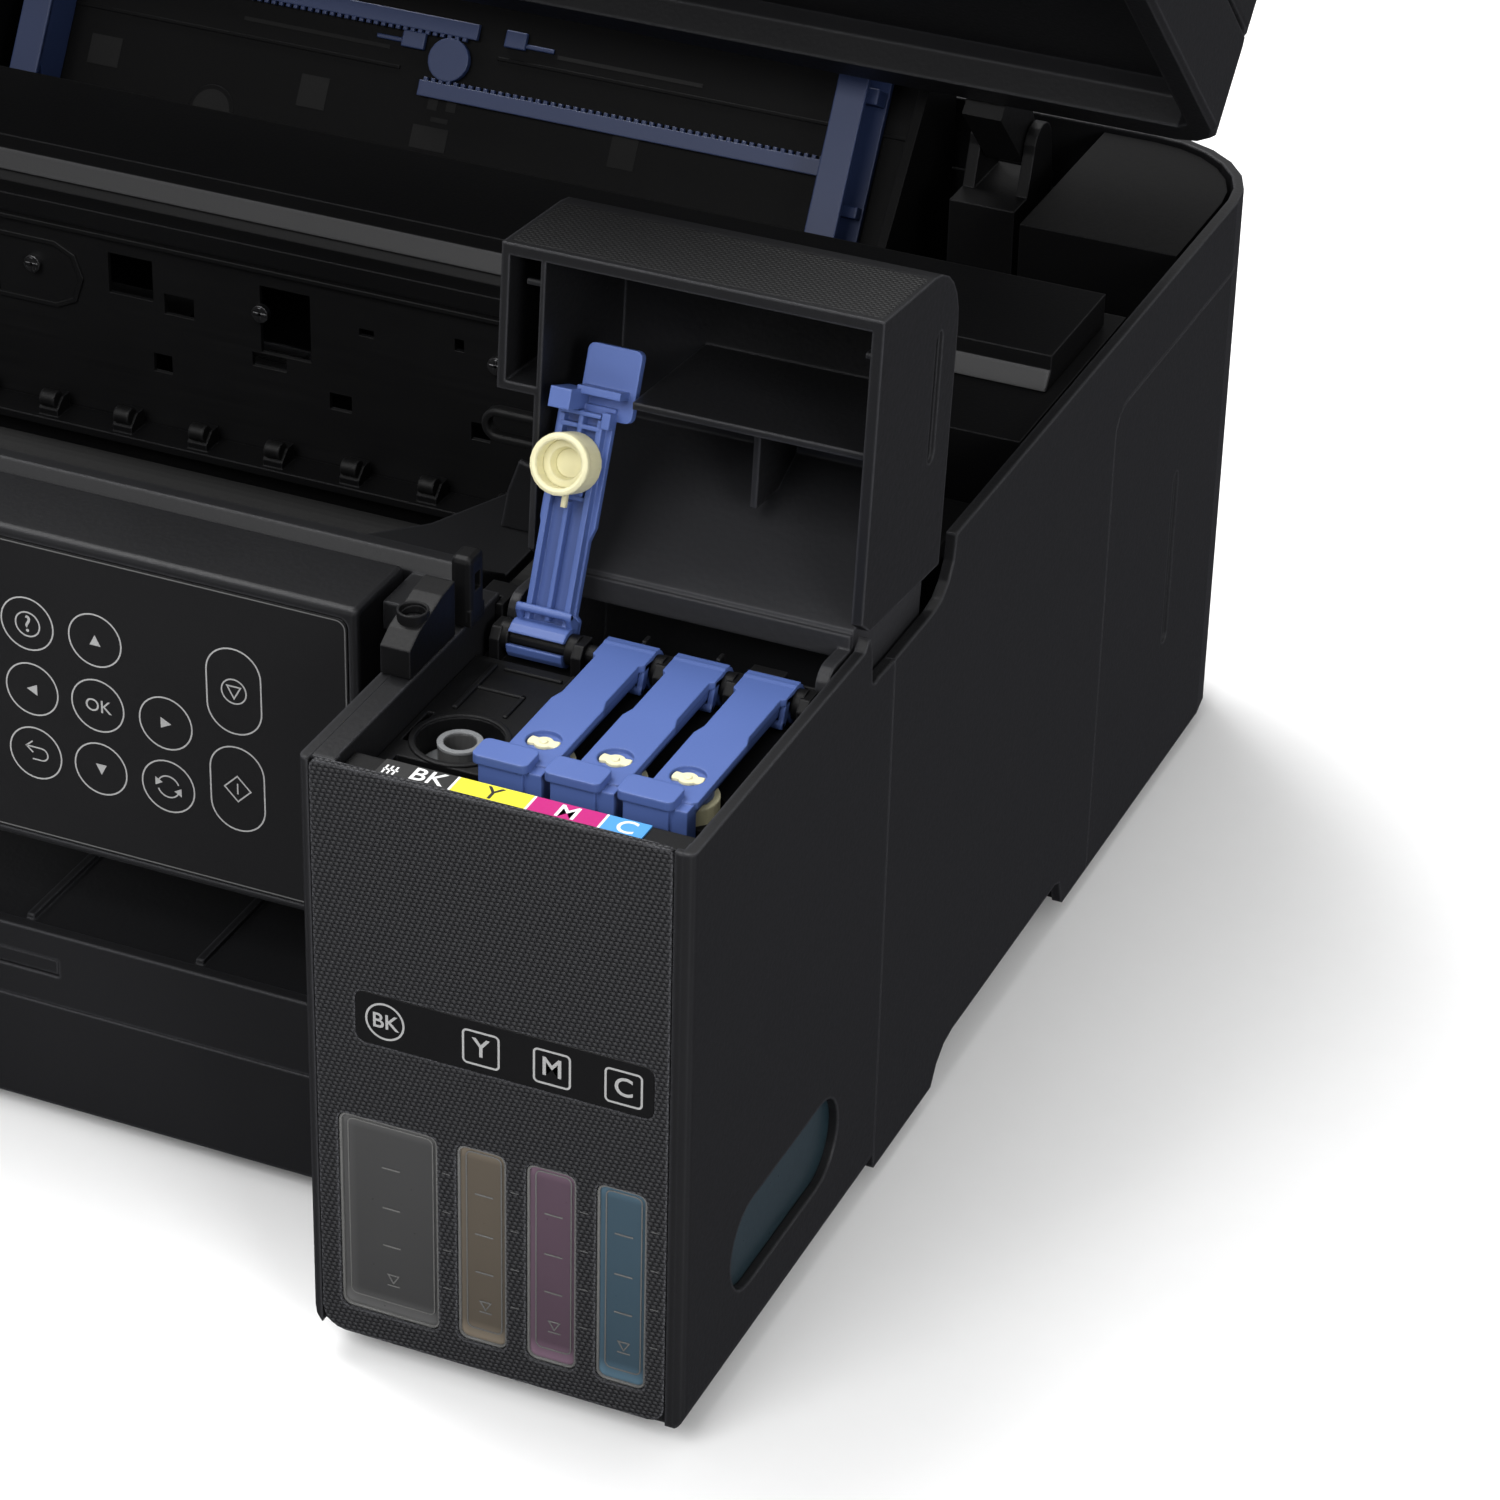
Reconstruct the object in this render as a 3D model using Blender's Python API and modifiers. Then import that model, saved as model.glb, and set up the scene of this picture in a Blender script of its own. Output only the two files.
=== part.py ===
"""Inkjet printer with refillable ink tanks, a raised scanner unit and an open tank cover.

Metres, +Z up, front of the printer towards -Y.  The origin is on the table, under the
middle of the body.  Sizes are written in millimetres and turned into metres by MM.
Hinged assemblies are modelled closed and then turned to their rest angle by the empty
on their joint axis.
"""

import math

import bmesh
import bpy
from mathutils import Matrix, Vector

MM = 0.001

# Overall sizes
BODY_WIDTH = 375.0
BODY_DEPTH = 347.0
BOTTOM_Z = 5.0
RIM_Z = 146.6
CORNER_RADIUS = 30.0
WALL = 2.5
GAP = 0.3

# Tank unit
TANK_WIDTH = 84.4
TANK_TOP = 144.0
FRONT_SETBACK = 46.0
SEAM_Y = -72.0
LEDGE_Z = 133.6
TANK_LEDGE = 7.0
SKIN_THICKNESS = 1.5
TRIM_LEFT = 2.2
TRIM_RIGHT = 4.2
WINDOW_TOP = 62.0
WINDOW_BOTTOM = 13.0
WINDOW_SMALL = 11.2
WINDOW_LARGE = 22.5
SLOT_LENGTH = 57.0
SLOT_HEIGHT = 21.4
SLOT_Y = -122.5
SLOT_Z = 31.8
DECK_Z = 135.0
INK_X = {"bk": 121.2, "y": 142.2, "m": 157.7, "c": 173.2}
PORT_X = {"bk": 122.4, "y": 142.2, "m": 157.7, "c": 173.2}
PORT_Y = {"bk": -141.5, "y": -144.5, "m": -144.5, "c": -144.5}

# Cap levers
LEVER_HINGE_Y = -104.0
LEVER_HINGE_Z = 138.0
LEVER_TOP = 142.0
LEVER_WIDTH = {"bk": 12.4, "y": 11.4, "m": 11.4, "c": 11.4}
LEVER_FRONT = {"bk": -166.0, "y": -158.0, "m": -158.0, "c": -158.0}
ROD_RADIUS = 2.0
CAP_RADIUS = 6.4
CAP_BORE = 5.0
CAP_HEIGHT = 7.2
NECK_RADIUS = 4.6
LEVER_OPEN = 113.0

# Tank cover
COVER_HINGE_Y = -96.4
COVER_HINGE_Z = 140.0
COVER_TOP = 187.0
COVER_REAR = -105.0
COVER_STEP_Y = -142.0
COVER_STEP_X = 9.8
COVER_SWING = 56.5
COVER_OPEN = 95.0

# Scanner unit
SCAN_HINGE_Y = 150.0
SCAN_HINGE_Z = 148.0
SCAN_FRONT = -116.0
SCAN_REAR = 124.0
SCAN_BOTTOM = 146.9
SCAN_SPLIT = 172.0
SCAN_TOP = 187.0
SCAN_NOTCH_X = 101.0
SCAN_NOTCH_Y = -38.0
SCAN_OPEN = 44.0
GLASS_LENGTH = 300.0
GLASS_WIDTH = 218.0

# Control panel
PANEL_LEFT = -150.0
PANEL_RIGHT = 89.4
PANEL_FRONT = -122.0
PANEL_DEPTH = 21.5
PANEL_BOTTOM = 69.5
PANEL_TOP = 146.3

# Paper path
PAPER_X = -24.5
PATH_LEFT = -149.5
PATH_RIGHT = 100.4
TRAY_TOP = 47.0
TRAY_LIP = 50.5
TRAY_SPLIT = 32.0
TRAY_DEPTH = 112.0
TRAY_PLATE = 3.0
ROD_Y = -32.0
ROD_Z = 100.0
ROD_SIZE = 3.5
CHASSIS_Y = 32.0
CHASSIS_TOP = 135.0
BAR_TOP = 150.0
BAR_FRONT = 41.2
BAR_REAR = 76.0
FEED_TILT = 60.0
FEED_BASE_Y = 137.0
FEED_BASE_Z = 118.0
GUIDE_SPACING = 216.0
REAR_SEAM_Y = 62.5
REAR_COVER_TOP = 128.0

HALF_W = BODY_WIDTH / 2
HALF_D = BODY_DEPTH / 2
TANK_LEFT = HALF_W - TANK_WIDTH
TANK_FRONT = -HALF_D
BODY_FRONT = -HALF_D + FRONT_SETBACK

for old in list(bpy.data.objects):
    bpy.data.objects.remove(old, do_unlink=True)

PARTS = bpy.data.collections.new("inkjet_printer")
CUTTERS = bpy.data.collections.new("cutters")
bpy.context.scene.collection.children.link(PARTS)
bpy.context.scene.collection.children.link(CUTTERS)


def material(name, colour, roughness, metallic=0.0, alpha=1.0):
    """A Principled material with the part's colour."""
    made = bpy.data.materials.new(name)
    made.use_nodes = True
    shader = made.node_tree.nodes["Principled BSDF"]
    shader.inputs["Base Color"].default_value = (*colour, 1.0)
    shader.inputs["Roughness"].default_value = roughness
    shader.inputs["Metallic"].default_value = metallic
    shader.inputs["Alpha"].default_value = alpha
    made.diffuse_color = (*colour, 1.0)
    return made


BLACK = material("black_casing", (0.022, 0.023, 0.026), 0.5)
DARK = material("dark_inner_casing", (0.014, 0.014, 0.016), 0.55)
WOVEN = material("woven_front", (0.02, 0.02, 0.023), 0.55)
GREY = material("light_grey_strip", (0.16, 0.16, 0.17), 0.4)
BLUE = material("blue_plastic", (0.13, 0.22, 0.62), 0.45)
CREAM = material("cream_rubber", (0.78, 0.74, 0.53), 0.6)
CLEAR = material("translucent_tank", (0.45, 0.46, 0.47), 0.2, 0.0, 0.5)
GLASS = material("scanner_glass", (0.6, 0.65, 0.65), 0.05, 0.0, 0.3)
METAL = material("sheet_metal", (0.3, 0.3, 0.31), 0.35, 1.0)
RUBBER = material("black_rubber", (0.015, 0.015, 0.015), 0.85)
WHITE = material("white_foam", (0.85, 0.85, 0.84), 0.8)
LABEL = material("printed_label", (0.05, 0.05, 0.05), 0.35)


def link(obj, mat=None, cutter=False):
    """Put a new object in its collection."""
    for owner in list(obj.users_collection):
        owner.objects.unlink(obj)
    (CUTTERS if cutter else PARTS).objects.link(obj)
    if cutter:
        obj.hide_render = True
        obj.display_type = "WIRE"
    if mat:
        obj.data.materials.clear()
        obj.data.materials.append(mat)
    return obj


def from_bmesh(name, bm, mat=None, cutter=False):
    mesh = bpy.data.meshes.new(name)
    bm.to_mesh(mesh)
    bm.free()
    return link(bpy.data.objects.new(name, mesh), mat, cutter)


def box(name, x, y, z, mat=None, cutter=False, bevel=0.0, segments=1):
    """A box between pairs of limits, with its origin at its middle."""
    size = [b - a for a, b in (x, y, z)]
    centre = [(a + b) / 2 for a, b in (x, y, z)]
    bm = bmesh.new()
    bmesh.ops.create_cube(bm, size=MM)
    bmesh.ops.scale(bm, vec=size, verts=bm.verts)
    obj = from_bmesh(name, bm, mat, cutter)
    obj.location = Vector(centre) * MM
    if bevel:
        soften(obj, bevel, segments)
    return obj


def soften(obj, width, segments=1, angle=40.0):
    """Round the edges sharper than the angle."""
    mod = obj.modifiers.new("round_edges", "BEVEL")
    mod.width = width * MM
    mod.segments = segments
    mod.limit_method = "ANGLE"
    mod.angle_limit = math.radians(angle)
    mod.use_clamp_overlap = True
    return mod


def cylinder(name, axis, centre, radius, length, mat=None, cutter=False, sides=24):
    """A cylinder along X, Y or Z through its centre."""
    bm = bmesh.new()
    bmesh.ops.create_cone(
        bm,
        cap_ends=True,
        segments=sides,
        radius1=radius * MM,
        radius2=radius * MM,
        depth=length * MM,
    )
    turn = {"X": Matrix.Rotation(math.pi / 2, 3, "Y"), "Y": Matrix.Rotation(math.pi / 2, 3, "X")}
    if axis in turn:
        bmesh.ops.rotate(bm, matrix=turn[axis], verts=bm.verts)
    obj = from_bmesh(name, bm, mat, cutter)
    obj.location = Vector(centre) * MM
    obj.data.shade_smooth()
    obj.data.set_sharp_from_angle(angle=math.radians(40))
    return obj


def outline(name, axis, points, low, high, mat=None, cutter=False):
    """A flat outline given thickness along one axis.

    The outline's two coordinates are Y and Z for X, X and Z for Y, X and Y for Z.
    """
    curve = bpy.data.curves.new(name, "CURVE")
    curve.dimensions = "2D"
    curve.fill_mode = "BOTH"
    curve.extrude = (high - low) / 2 * MM
    spline = curve.splines.new("POLY")
    spline.points.add(len(points) - 1)
    for point, (u, v) in zip(spline.points, points):
        point.co = (u * MM, v * MM, 0.0, 1.0)
    spline.use_cyclic_u = True
    made = bpy.data.objects.new(name + "_outline", curve)
    bpy.context.scene.collection.objects.link(made)
    middle = (low + high) / 2 * MM
    turns = {
        "X": Matrix(((0, 0, 1, middle), (1, 0, 0, 0), (0, 1, 0, 0), (0, 0, 0, 1))),
        "Y": Matrix(((1, 0, 0, 0), (0, 0, -1, middle), (0, 1, 0, 0), (0, 0, 0, 1))),
        "Z": Matrix(((1, 0, 0, 0), (0, 1, 0, 0), (0, 0, 1, middle), (0, 0, 0, 1))),
    }
    made.matrix_world = turns[axis]
    bpy.context.view_layer.update()
    graph = bpy.context.evaluated_depsgraph_get()
    mesh = bpy.data.meshes.new_from_object(made.evaluated_get(graph))
    bm = bmesh.new()
    bm.from_mesh(mesh)
    bmesh.ops.remove_doubles(bm, verts=bm.verts, dist=1e-6)
    bmesh.ops.recalc_face_normals(bm, faces=bm.faces)
    bm.to_mesh(mesh)
    bm.free()
    obj = link(bpy.data.objects.new(name, mesh), mat, cutter)
    obj.matrix_world = turns[axis]
    bpy.data.objects.remove(made, do_unlink=True)
    return obj


def rounded(x, y, radius, steps=4, corners=(1, 1, 1, 1)):
    """The outline of a rectangle whose corners are rounded, from the low-low one."""
    points = []
    centres = (
        (x[0], y[0], 1, 1, 180),
        (x[1], y[0], -1, 1, 270),
        (x[1], y[1], -1, -1, 0),
        (x[0], y[1], 1, -1, 90),
    )
    for (cx, cy, sx, sy, start), keep in zip(centres, corners):
        if not keep:
            points.append((cx, cy))
            continue
        for i in range(steps + 1):
            angle = math.radians(start + 90 * i / steps)
            points.append(
                (
                    cx + sx * radius + radius * math.cos(angle),
                    cy + sy * radius + radius * math.sin(angle),
                )
            )
    return points


def arc(cy, cz, radius, start, end, steps):
    """Points of an arc, angles in degrees."""
    return [
        (
            cy + radius * math.cos(math.radians(start + (end - start) * i / steps)),
            cz + radius * math.sin(math.radians(start + (end - start) * i / steps)),
        )
        for i in range(steps + 1)
    ]


def boolean(obj, other, operation):
    mod = obj.modifiers.new(operation.lower() + "_" + other.name, "BOOLEAN")
    mod.operation = operation
    mod.solver = "EXACT"
    mod.object = other
    return obj


def cut(obj, *others):
    for other in others:
        boolean(obj, other, "DIFFERENCE")
    return obj


def add(obj, *others):
    for other in others:
        boolean(obj, other, "UNION")
    return obj


def pivot(name, y, z, x=0.0):
    """An empty on a joint's axis."""
    empty = bpy.data.objects.new(name, None)
    empty.empty_display_size = 0.02
    empty.location = Vector((x, y, z)) * MM
    PARTS.objects.link(empty)
    bpy.context.view_layer.update()
    return empty


def hang(parent, *children):
    """Parent objects to an empty without moving them."""
    bpy.context.view_layer.update()
    inverse = parent.matrix_world.inverted()
    for child in children:
        child.parent = parent
        child.matrix_parent_inverse = inverse
        for mod in child.modifiers:
            if mod.type == "BOOLEAN" and mod.object.parent is None:
                mod.object.parent = parent
                mod.object.matrix_parent_inverse = inverse


# Body shell and base


def footprint(inset):
    """The body's plan at a wall inset, rounded at its two rear corners."""
    return rounded(
        (-HALF_W + inset, HALF_W - inset),
        (BODY_FRONT + inset, HALF_D - inset),
        CORNER_RADIUS - inset,
        steps=6,
        corners=(0, 0, 1, 1),
    )


def swing_clearance():
    """The notch in the right wall that the cover's rear edge swings through."""
    radius = 11.0
    corner_y = SCAN_NOTCH_Y - 1.0
    bend = arc(corner_y - radius, LEDGE_Z + radius, radius, -90, 0, 4)
    return [(SEAM_Y - 8, LEDGE_Z)] + bend + [(corner_y, RIM_Z + 9), (SEAM_Y - 8, RIM_Z + 9)]


def grip_recess():
    """The hand recess along the bottom edge of a side."""
    return [
        (-39.5, BOTTOM_Z - 4),
        (-38.3, BOTTOM_Z),
        (-35.2, BOTTOM_Z + 4.6),
        (-31.0, BOTTOM_Z + 7.5),
        (-26.0, BOTTOM_Z + 8.4),
        (40.0, BOTTOM_Z + 8.4),
        (43.5, BOTTOM_Z + 7.0),
        (46.0, BOTTOM_Z),
        (46.5, BOTTOM_Z - 4),
    ]


def body_shell():
    shell = outline("body_shell", "Z", footprint(0.0), BOTTOM_Z, RIM_Z, BLACK)
    inside = outline("shell_inside", "Z", footprint(WALL), BOTTOM_Z - 5, RIM_Z + 5, None, True)
    mouth = box(
        "shell_mouth",
        (PANEL_LEFT - GAP, HALF_W + 10),
        (BODY_FRONT - 10, BODY_FRONT + 12),
        (BOTTOM_Z - 5, RIM_Z + 5),
        None,
        True,
    )
    tank_side = box(
        "shell_tank_side",
        (HALF_W - 10, HALF_W + 10),
        (BODY_FRONT - 10, SEAM_Y),
        (BOTTOM_Z - 5, RIM_Z + 5),
        None,
        True,
    )
    swing = outline("shell_swing", "X", swing_clearance(), HALF_W - 10, HALF_W + 10, None, True)
    rear = outline(
        "shell_rear",
        "X",
        rounded((REAR_SEAM_Y, HALF_D + 20), (BOTTOM_Z - 5, REAR_COVER_TOP), 7.0, 4, (0, 0, 0, 1)),
        -HALF_W - 10,
        HALF_W + 10,
        None,
        True,
    )
    grip = outline("shell_grip", "X", grip_recess(), -HALF_W - 10, HALF_W + 10, None, True)
    cut(shell, inside, mouth, tank_side, swing, rear, grip)
    strip = box(
        "shell_front_strip",
        (PANEL_LEFT - 3.0, TANK_LEFT - 2.4),
        (BODY_FRONT, BODY_FRONT + WALL),
        (BOTTOM_Z, TRAY_SPLIT - GAP),
        None,
        True,
    )
    return add(shell, strip)


def rear_cover():
    """The cover round the back, which pulls off backwards by its side grips."""
    cover = outline(
        "rear_cover", "Z", footprint(0.0), BOTTOM_Z, REAR_COVER_TOP - GAP, BLACK
    )
    inside = outline("rear_inside", "Z", footprint(WALL), 0, RIM_Z, None, True)
    front = outline(
        "rear_front",
        "X",
        [
            (BODY_FRONT - 20, BOTTOM_Z - 5),
            (REAR_SEAM_Y + GAP, BOTTOM_Z - 5),
        ]
        + [
            (REAR_SEAM_Y + GAP + 7.0 - 7.0 * math.cos(math.radians(a)),
             REAR_COVER_TOP - GAP - 7.0 + 7.0 * math.sin(math.radians(a)))
            for a in (0, 22.5, 45, 67.5, 90)
        ]
        + [(REAR_SEAM_Y + GAP + 7.0, RIM_Z), (BODY_FRONT - 20, RIM_Z)],
        -HALF_W - 10,
        HALF_W + 10,
        None,
        True,
    )
    cutters = [inside, front]
    for side in (-1, 1):
        low, high = sorted((side * (HALF_W - 1.0), side * (HALF_W + 5)))
        cutters.append(
            outline(
                "rear_grip_%d" % (side > 0),
                "X",
                rounded((109.0, 113.0), (42.5, 89.5), 1.99, 4),
                low,
                high,
                None,
                True,
            )
        )
    cutters.append(
        box("rear_inlet_hole", (-141.5, -110.5), (HALF_D - 10, HALF_D + 5), (18.5, 43.5), None, True)
    )
    cutters.append(
        box("rear_port_hole", (-95.5, -78.5), (HALF_D - 10, HALF_D + 5), (18.5, 35.5), None, True)
    )
    return cut(cover, *cutters)


def base():
    floor_top = BOTTOM_Z + 3.0
    floor = outline(
        "base_tray",
        "Z",
        rounded(
            (-HALF_W + WALL + GAP, HALF_W - WALL - GAP),
            (BODY_FRONT + 2.8, HALF_D - WALL - GAP),
            CORNER_RADIUS - WALL,
            6,
            (0, 0, 1, 1),
        ),
        BOTTOM_Z,
        floor_top,
        DARK,
    )
    tank_bay = box(
        "base_tank_bay",
        (TANK_LEFT - GAP, HALF_W + 5),
        (BODY_FRONT - 10, SEAM_Y),
        (0, floor_top + 5),
        None,
        True,
    )
    cut(floor, tank_bay)
    for side in (-1, 1):
        low, high = sorted((side * (HALF_W - 16), side * (HALF_W + 5)))
        cut(floor, box("base_grip_%d" % (side > 0), (low, high), (-40, 47), (0, 12), None, True))
    # Ribs that carry the tray, and the wall under the paper path
    ribs = []
    for i, x in enumerate((-142.0, -100.0, 52.0, 94.0)):
        ribs.append(
            box(
                "tray_rib_%d" % i,
                (x - 1.2, x + 1.2),
                (BODY_FRONT + 6, BODY_FRONT + 6 + TRAY_DEPTH),
                (floor_top - 1, TRAY_TOP - TRAY_PLATE - GAP),
                None,
                True,
            )
        )
    ribs.append(
        box("path_wall", (PATH_LEFT, PATH_RIGHT), (0, 3), (floor_top - 1, 59.7), None, True)
    )
    return add(floor, *ribs)


def feet():
    made = []
    for name, x, y in (
        ("foot_front_left", -165.0, -100.0),
        ("foot_rear_left", -150.0, 140.0),
        ("foot_rear_right", 150.0, 140.0),
        ("foot_front_right", 165.0, -150.0),
    ):
        made.append(cylinder(name, "Z", (x, y, (BOTTOM_Z - GAP) / 2), 7.0, BOTTOM_Z - GAP, RUBBER, sides=20))
    return made


# Tank unit


def windows():
    """Each window's limits across the front: name to (low, high)."""
    found = {"bk": (INK_X["bk"] - WINDOW_LARGE / 2, INK_X["bk"] + WINDOW_LARGE / 2)}
    for ink in ("y", "m", "c"):
        found[ink] = (INK_X[ink] - WINDOW_SMALL / 2, INK_X[ink] + WINDOW_SMALL / 2)
    return found


def tank_case():
    wall_back = SEAM_Y - GAP
    front = TANK_FRONT + SKIN_THICKNESS + GAP
    side = [
        (TANK_FRONT + 1.0, BOTTOM_Z),
        (wall_back, BOTTOM_Z),
        (wall_back, LEDGE_Z),
    ]
    side += arc(-82.2, LEDGE_Z + 2.8, 2.8, -60, -150, 3)
    side += [(-85.2, TANK_TOP - 1.5), (-86.6, TANK_TOP + 2.2), (-89.0, TANK_TOP)]
    side += [(TANK_FRONT, TANK_TOP), (TANK_FRONT, BOTTOM_Z + 2.0)]
    case = outline("tank_case", "X", side, HALF_W - WALL, HALF_W, BLACK)
    left = outline(
        "case_left",
        "X",
        [
            (TANK_FRONT, BOTTOM_Z + 2.0),
            (TANK_FRONT + 2.0, BOTTOM_Z),
            (wall_back, BOTTOM_Z),
            (wall_back, 120.0),
            (-98.0, TANK_TOP),
            (TANK_FRONT, TANK_TOP),
        ],
        TANK_LEFT,
        TANK_LEFT + TRIM_LEFT,
        None,
        True,
    )
    ledge = box(
        "case_ledge",
        (TANK_LEFT + 0.5, TANK_LEFT + TANK_LEDGE),
        (front + 0.4, -98.6),
        (TANK_TOP - 12.0, TANK_TOP - 0.1),
        None,
        True,
    )
    trim = box(
        "case_trim",
        (HALF_W - TRIM_RIGHT, HALF_W - 0.5),
        (TANK_FRONT + 0.1, front + 2.2),
        (BOTTOM_Z + 1.0, TANK_TOP - 0.15),
        None,
        True,
    )
    front_wall = box(
        "case_front",
        (TANK_LEFT + 0.5, HALF_W - 0.5),
        (front, front + 2.5),
        (BOTTOM_Z + 0.3, TANK_TOP - 0.2),
        None,
        True,
    )
    floor = box(
        "case_floor",
        (TANK_LEFT + 0.5, HALF_W - 0.5),
        (front + 0.6, wall_back - 0.3),
        (BOTTOM_Z + 0.1, BOTTOM_Z + 2.5),
        None,
        True,
    )
    pin = cylinder(
        "case_pin",
        "X",
        (HALF_W - WALL - 1.6, COVER_HINGE_Y, COVER_HINGE_Z),
        2.0,
        5.2,
        None,
        True,
        sides=16,
    )
    add(case, left, ledge, trim, front_wall, floor, pin)
    for ink, (low, high) in windows().items():
        hole = outline(
            "case_window_" + ink,
            "Y",
            rounded((low - 0.2, high + 0.2), (WINDOW_BOTTOM - 0.2, WINDOW_TOP + 0.2), 2.0, 2),
            TANK_FRONT - 5,
            front + 6,
            None,
            True,
        )
        cut(case, hole)
    slot = outline(
        "case_slot",
        "X",
        rounded(
            (SLOT_Y - SLOT_LENGTH / 2, SLOT_Y + SLOT_LENGTH / 2),
            (SLOT_Z - SLOT_HEIGHT / 2, SLOT_Z + SLOT_HEIGHT / 2),
            SLOT_HEIGHT / 2 - 0.01,
            6,
        ),
        HALF_W - 8,
        HALF_W + 5,
        None,
        True,
    )
    notch = box(
        "case_notch",
        (TANK_LEFT + TANK_LEDGE + 0.2, HALF_W - TRIM_RIGHT + 1.4),
        (front - 0.1, front + 6.0),
        (TANK_TOP - 3.0, TANK_TOP + 5.0),
        None,
        True,
    )
    return cut(case, slot, notch, *case_corners())


def case_corners():
    """Cutters that round the tank unit's bottom and front edges."""
    right, front, low = HALF_W, TANK_FRONT, BOTTOM_Z
    shapes = []
    for name, x, hand, radius in (("left", TANK_LEFT, 1, 7.0), ("right", right, -1, 5.0)):
        centre = x + hand * radius
        bend = arc(centre, low + radius, radius, 270, 180 if hand > 0 else 360, 6)
        edge = [(centre, low - 2.0), *bend, (x - hand * 2.0, low + radius), (x - hand * 2.0, low - 2.0)]
        shapes.append(
            outline("case_bottom_" + name, "Y", edge, front - 5.0, SEAM_Y + 5.0, None, True)
        )
        start = x + hand * 1.6
        bend = arc(start, front + 1.6, 1.6, 270, 180 if hand > 0 else 360, 3)
        edge = [(start, front - 2.0), *bend, (x - hand * 2.0, front + 1.6), (x - hand * 2.0, front - 2.0)]
        shapes.append(
            outline("case_front_" + name, "Z", edge, low - 5.0, TANK_TOP + 5.0, None, True)
        )
    return shapes


def tank_skin():
    """The woven front panel with its four windows and the label recess."""
    left = TANK_LEFT + TRIM_LEFT + GAP
    right = HALF_W - TRIM_RIGHT - GAP
    skin = outline(
        "tank_front_skin",
        "Y",
        arc(left + 5.0, BOTTOM_Z + 6.5, 5.0, 180, 270, 4)
        + arc(right - 3.5, BOTTOM_Z + 5.0, 3.5, 270, 360, 4)
        + arc(right - 1.5, TANK_TOP - 1.5, 1.5, 0, 90, 3)
        + arc(left + 1.5, TANK_TOP - 1.5, 1.5, 90, 180, 3),
        TANK_FRONT,
        TANK_FRONT + SKIN_THICKNESS,
        WOVEN,
    )
    for ink, (low, high) in windows().items():
        cut(
            skin,
            outline(
                "skin_window_" + ink,
                "Y",
                rounded((low, high), (WINDOW_BOTTOM, WINDOW_TOP), 2.0, 3),
                TANK_FRONT - 5,
                TANK_FRONT + 5,
                None,
                True,
            ),
        )
    return cut(
        skin,
        outline(
            "skin_label_recess",
            "Y",
            rounded((114.5, 180.0), (80.7, 93.1), 2.2, 3),
            TANK_FRONT - 5,
            TANK_FRONT + 0.3,
            None,
            True,
        ),
    )


def ink_tank(ink, low, high):
    """A tank: a hollow box, its window in the front panel and its filler neck."""
    front = TANK_FRONT + SKIN_THICKNESS + GAP + 2.5 + GAP
    tank_top = 76.0
    wall = 1.6
    back = -101.5
    body = box(
        "ink_tank_" + ink, (low, high), (front, back), (BOTTOM_Z + 3.0, tank_top), CLEAR
    )
    wlow, whigh = windows()[ink]
    window = outline(
        "tank_window_" + ink,
        "Y",
        rounded((wlow + 0.3, whigh - 0.3), (WINDOW_BOTTOM + 0.3, WINDOW_TOP - 0.3), 1.8, 2),
        TANK_FRONT + 1.0,
        front + 1.0,
        None,
        True,
    )
    neck = cylinder(
        "tank_neck_" + ink,
        "Z",
        (PORT_X[ink], PORT_Y[ink], (tank_top - 1 + 134.6) / 2),
        NECK_RADIUS,
        134.6 - tank_top + 1,
        None,
        True,
        sides=16,
    )
    add(body, window, neck)
    hollow = box(
        "tank_hollow_" + ink,
        (low + wall, high - wall),
        (front + wall, back - wall),
        (BOTTOM_Z + 3.0 + wall, tank_top - wall),
        None,
        True,
    )
    bore = cylinder(
        "tank_bore_" + ink, "Z", (PORT_X[ink], PORT_Y[ink], 105.0), NECK_RADIUS - 1.3, 66.0, None, True, sides=16
    )
    return cut(body, hollow, bore)


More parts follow.
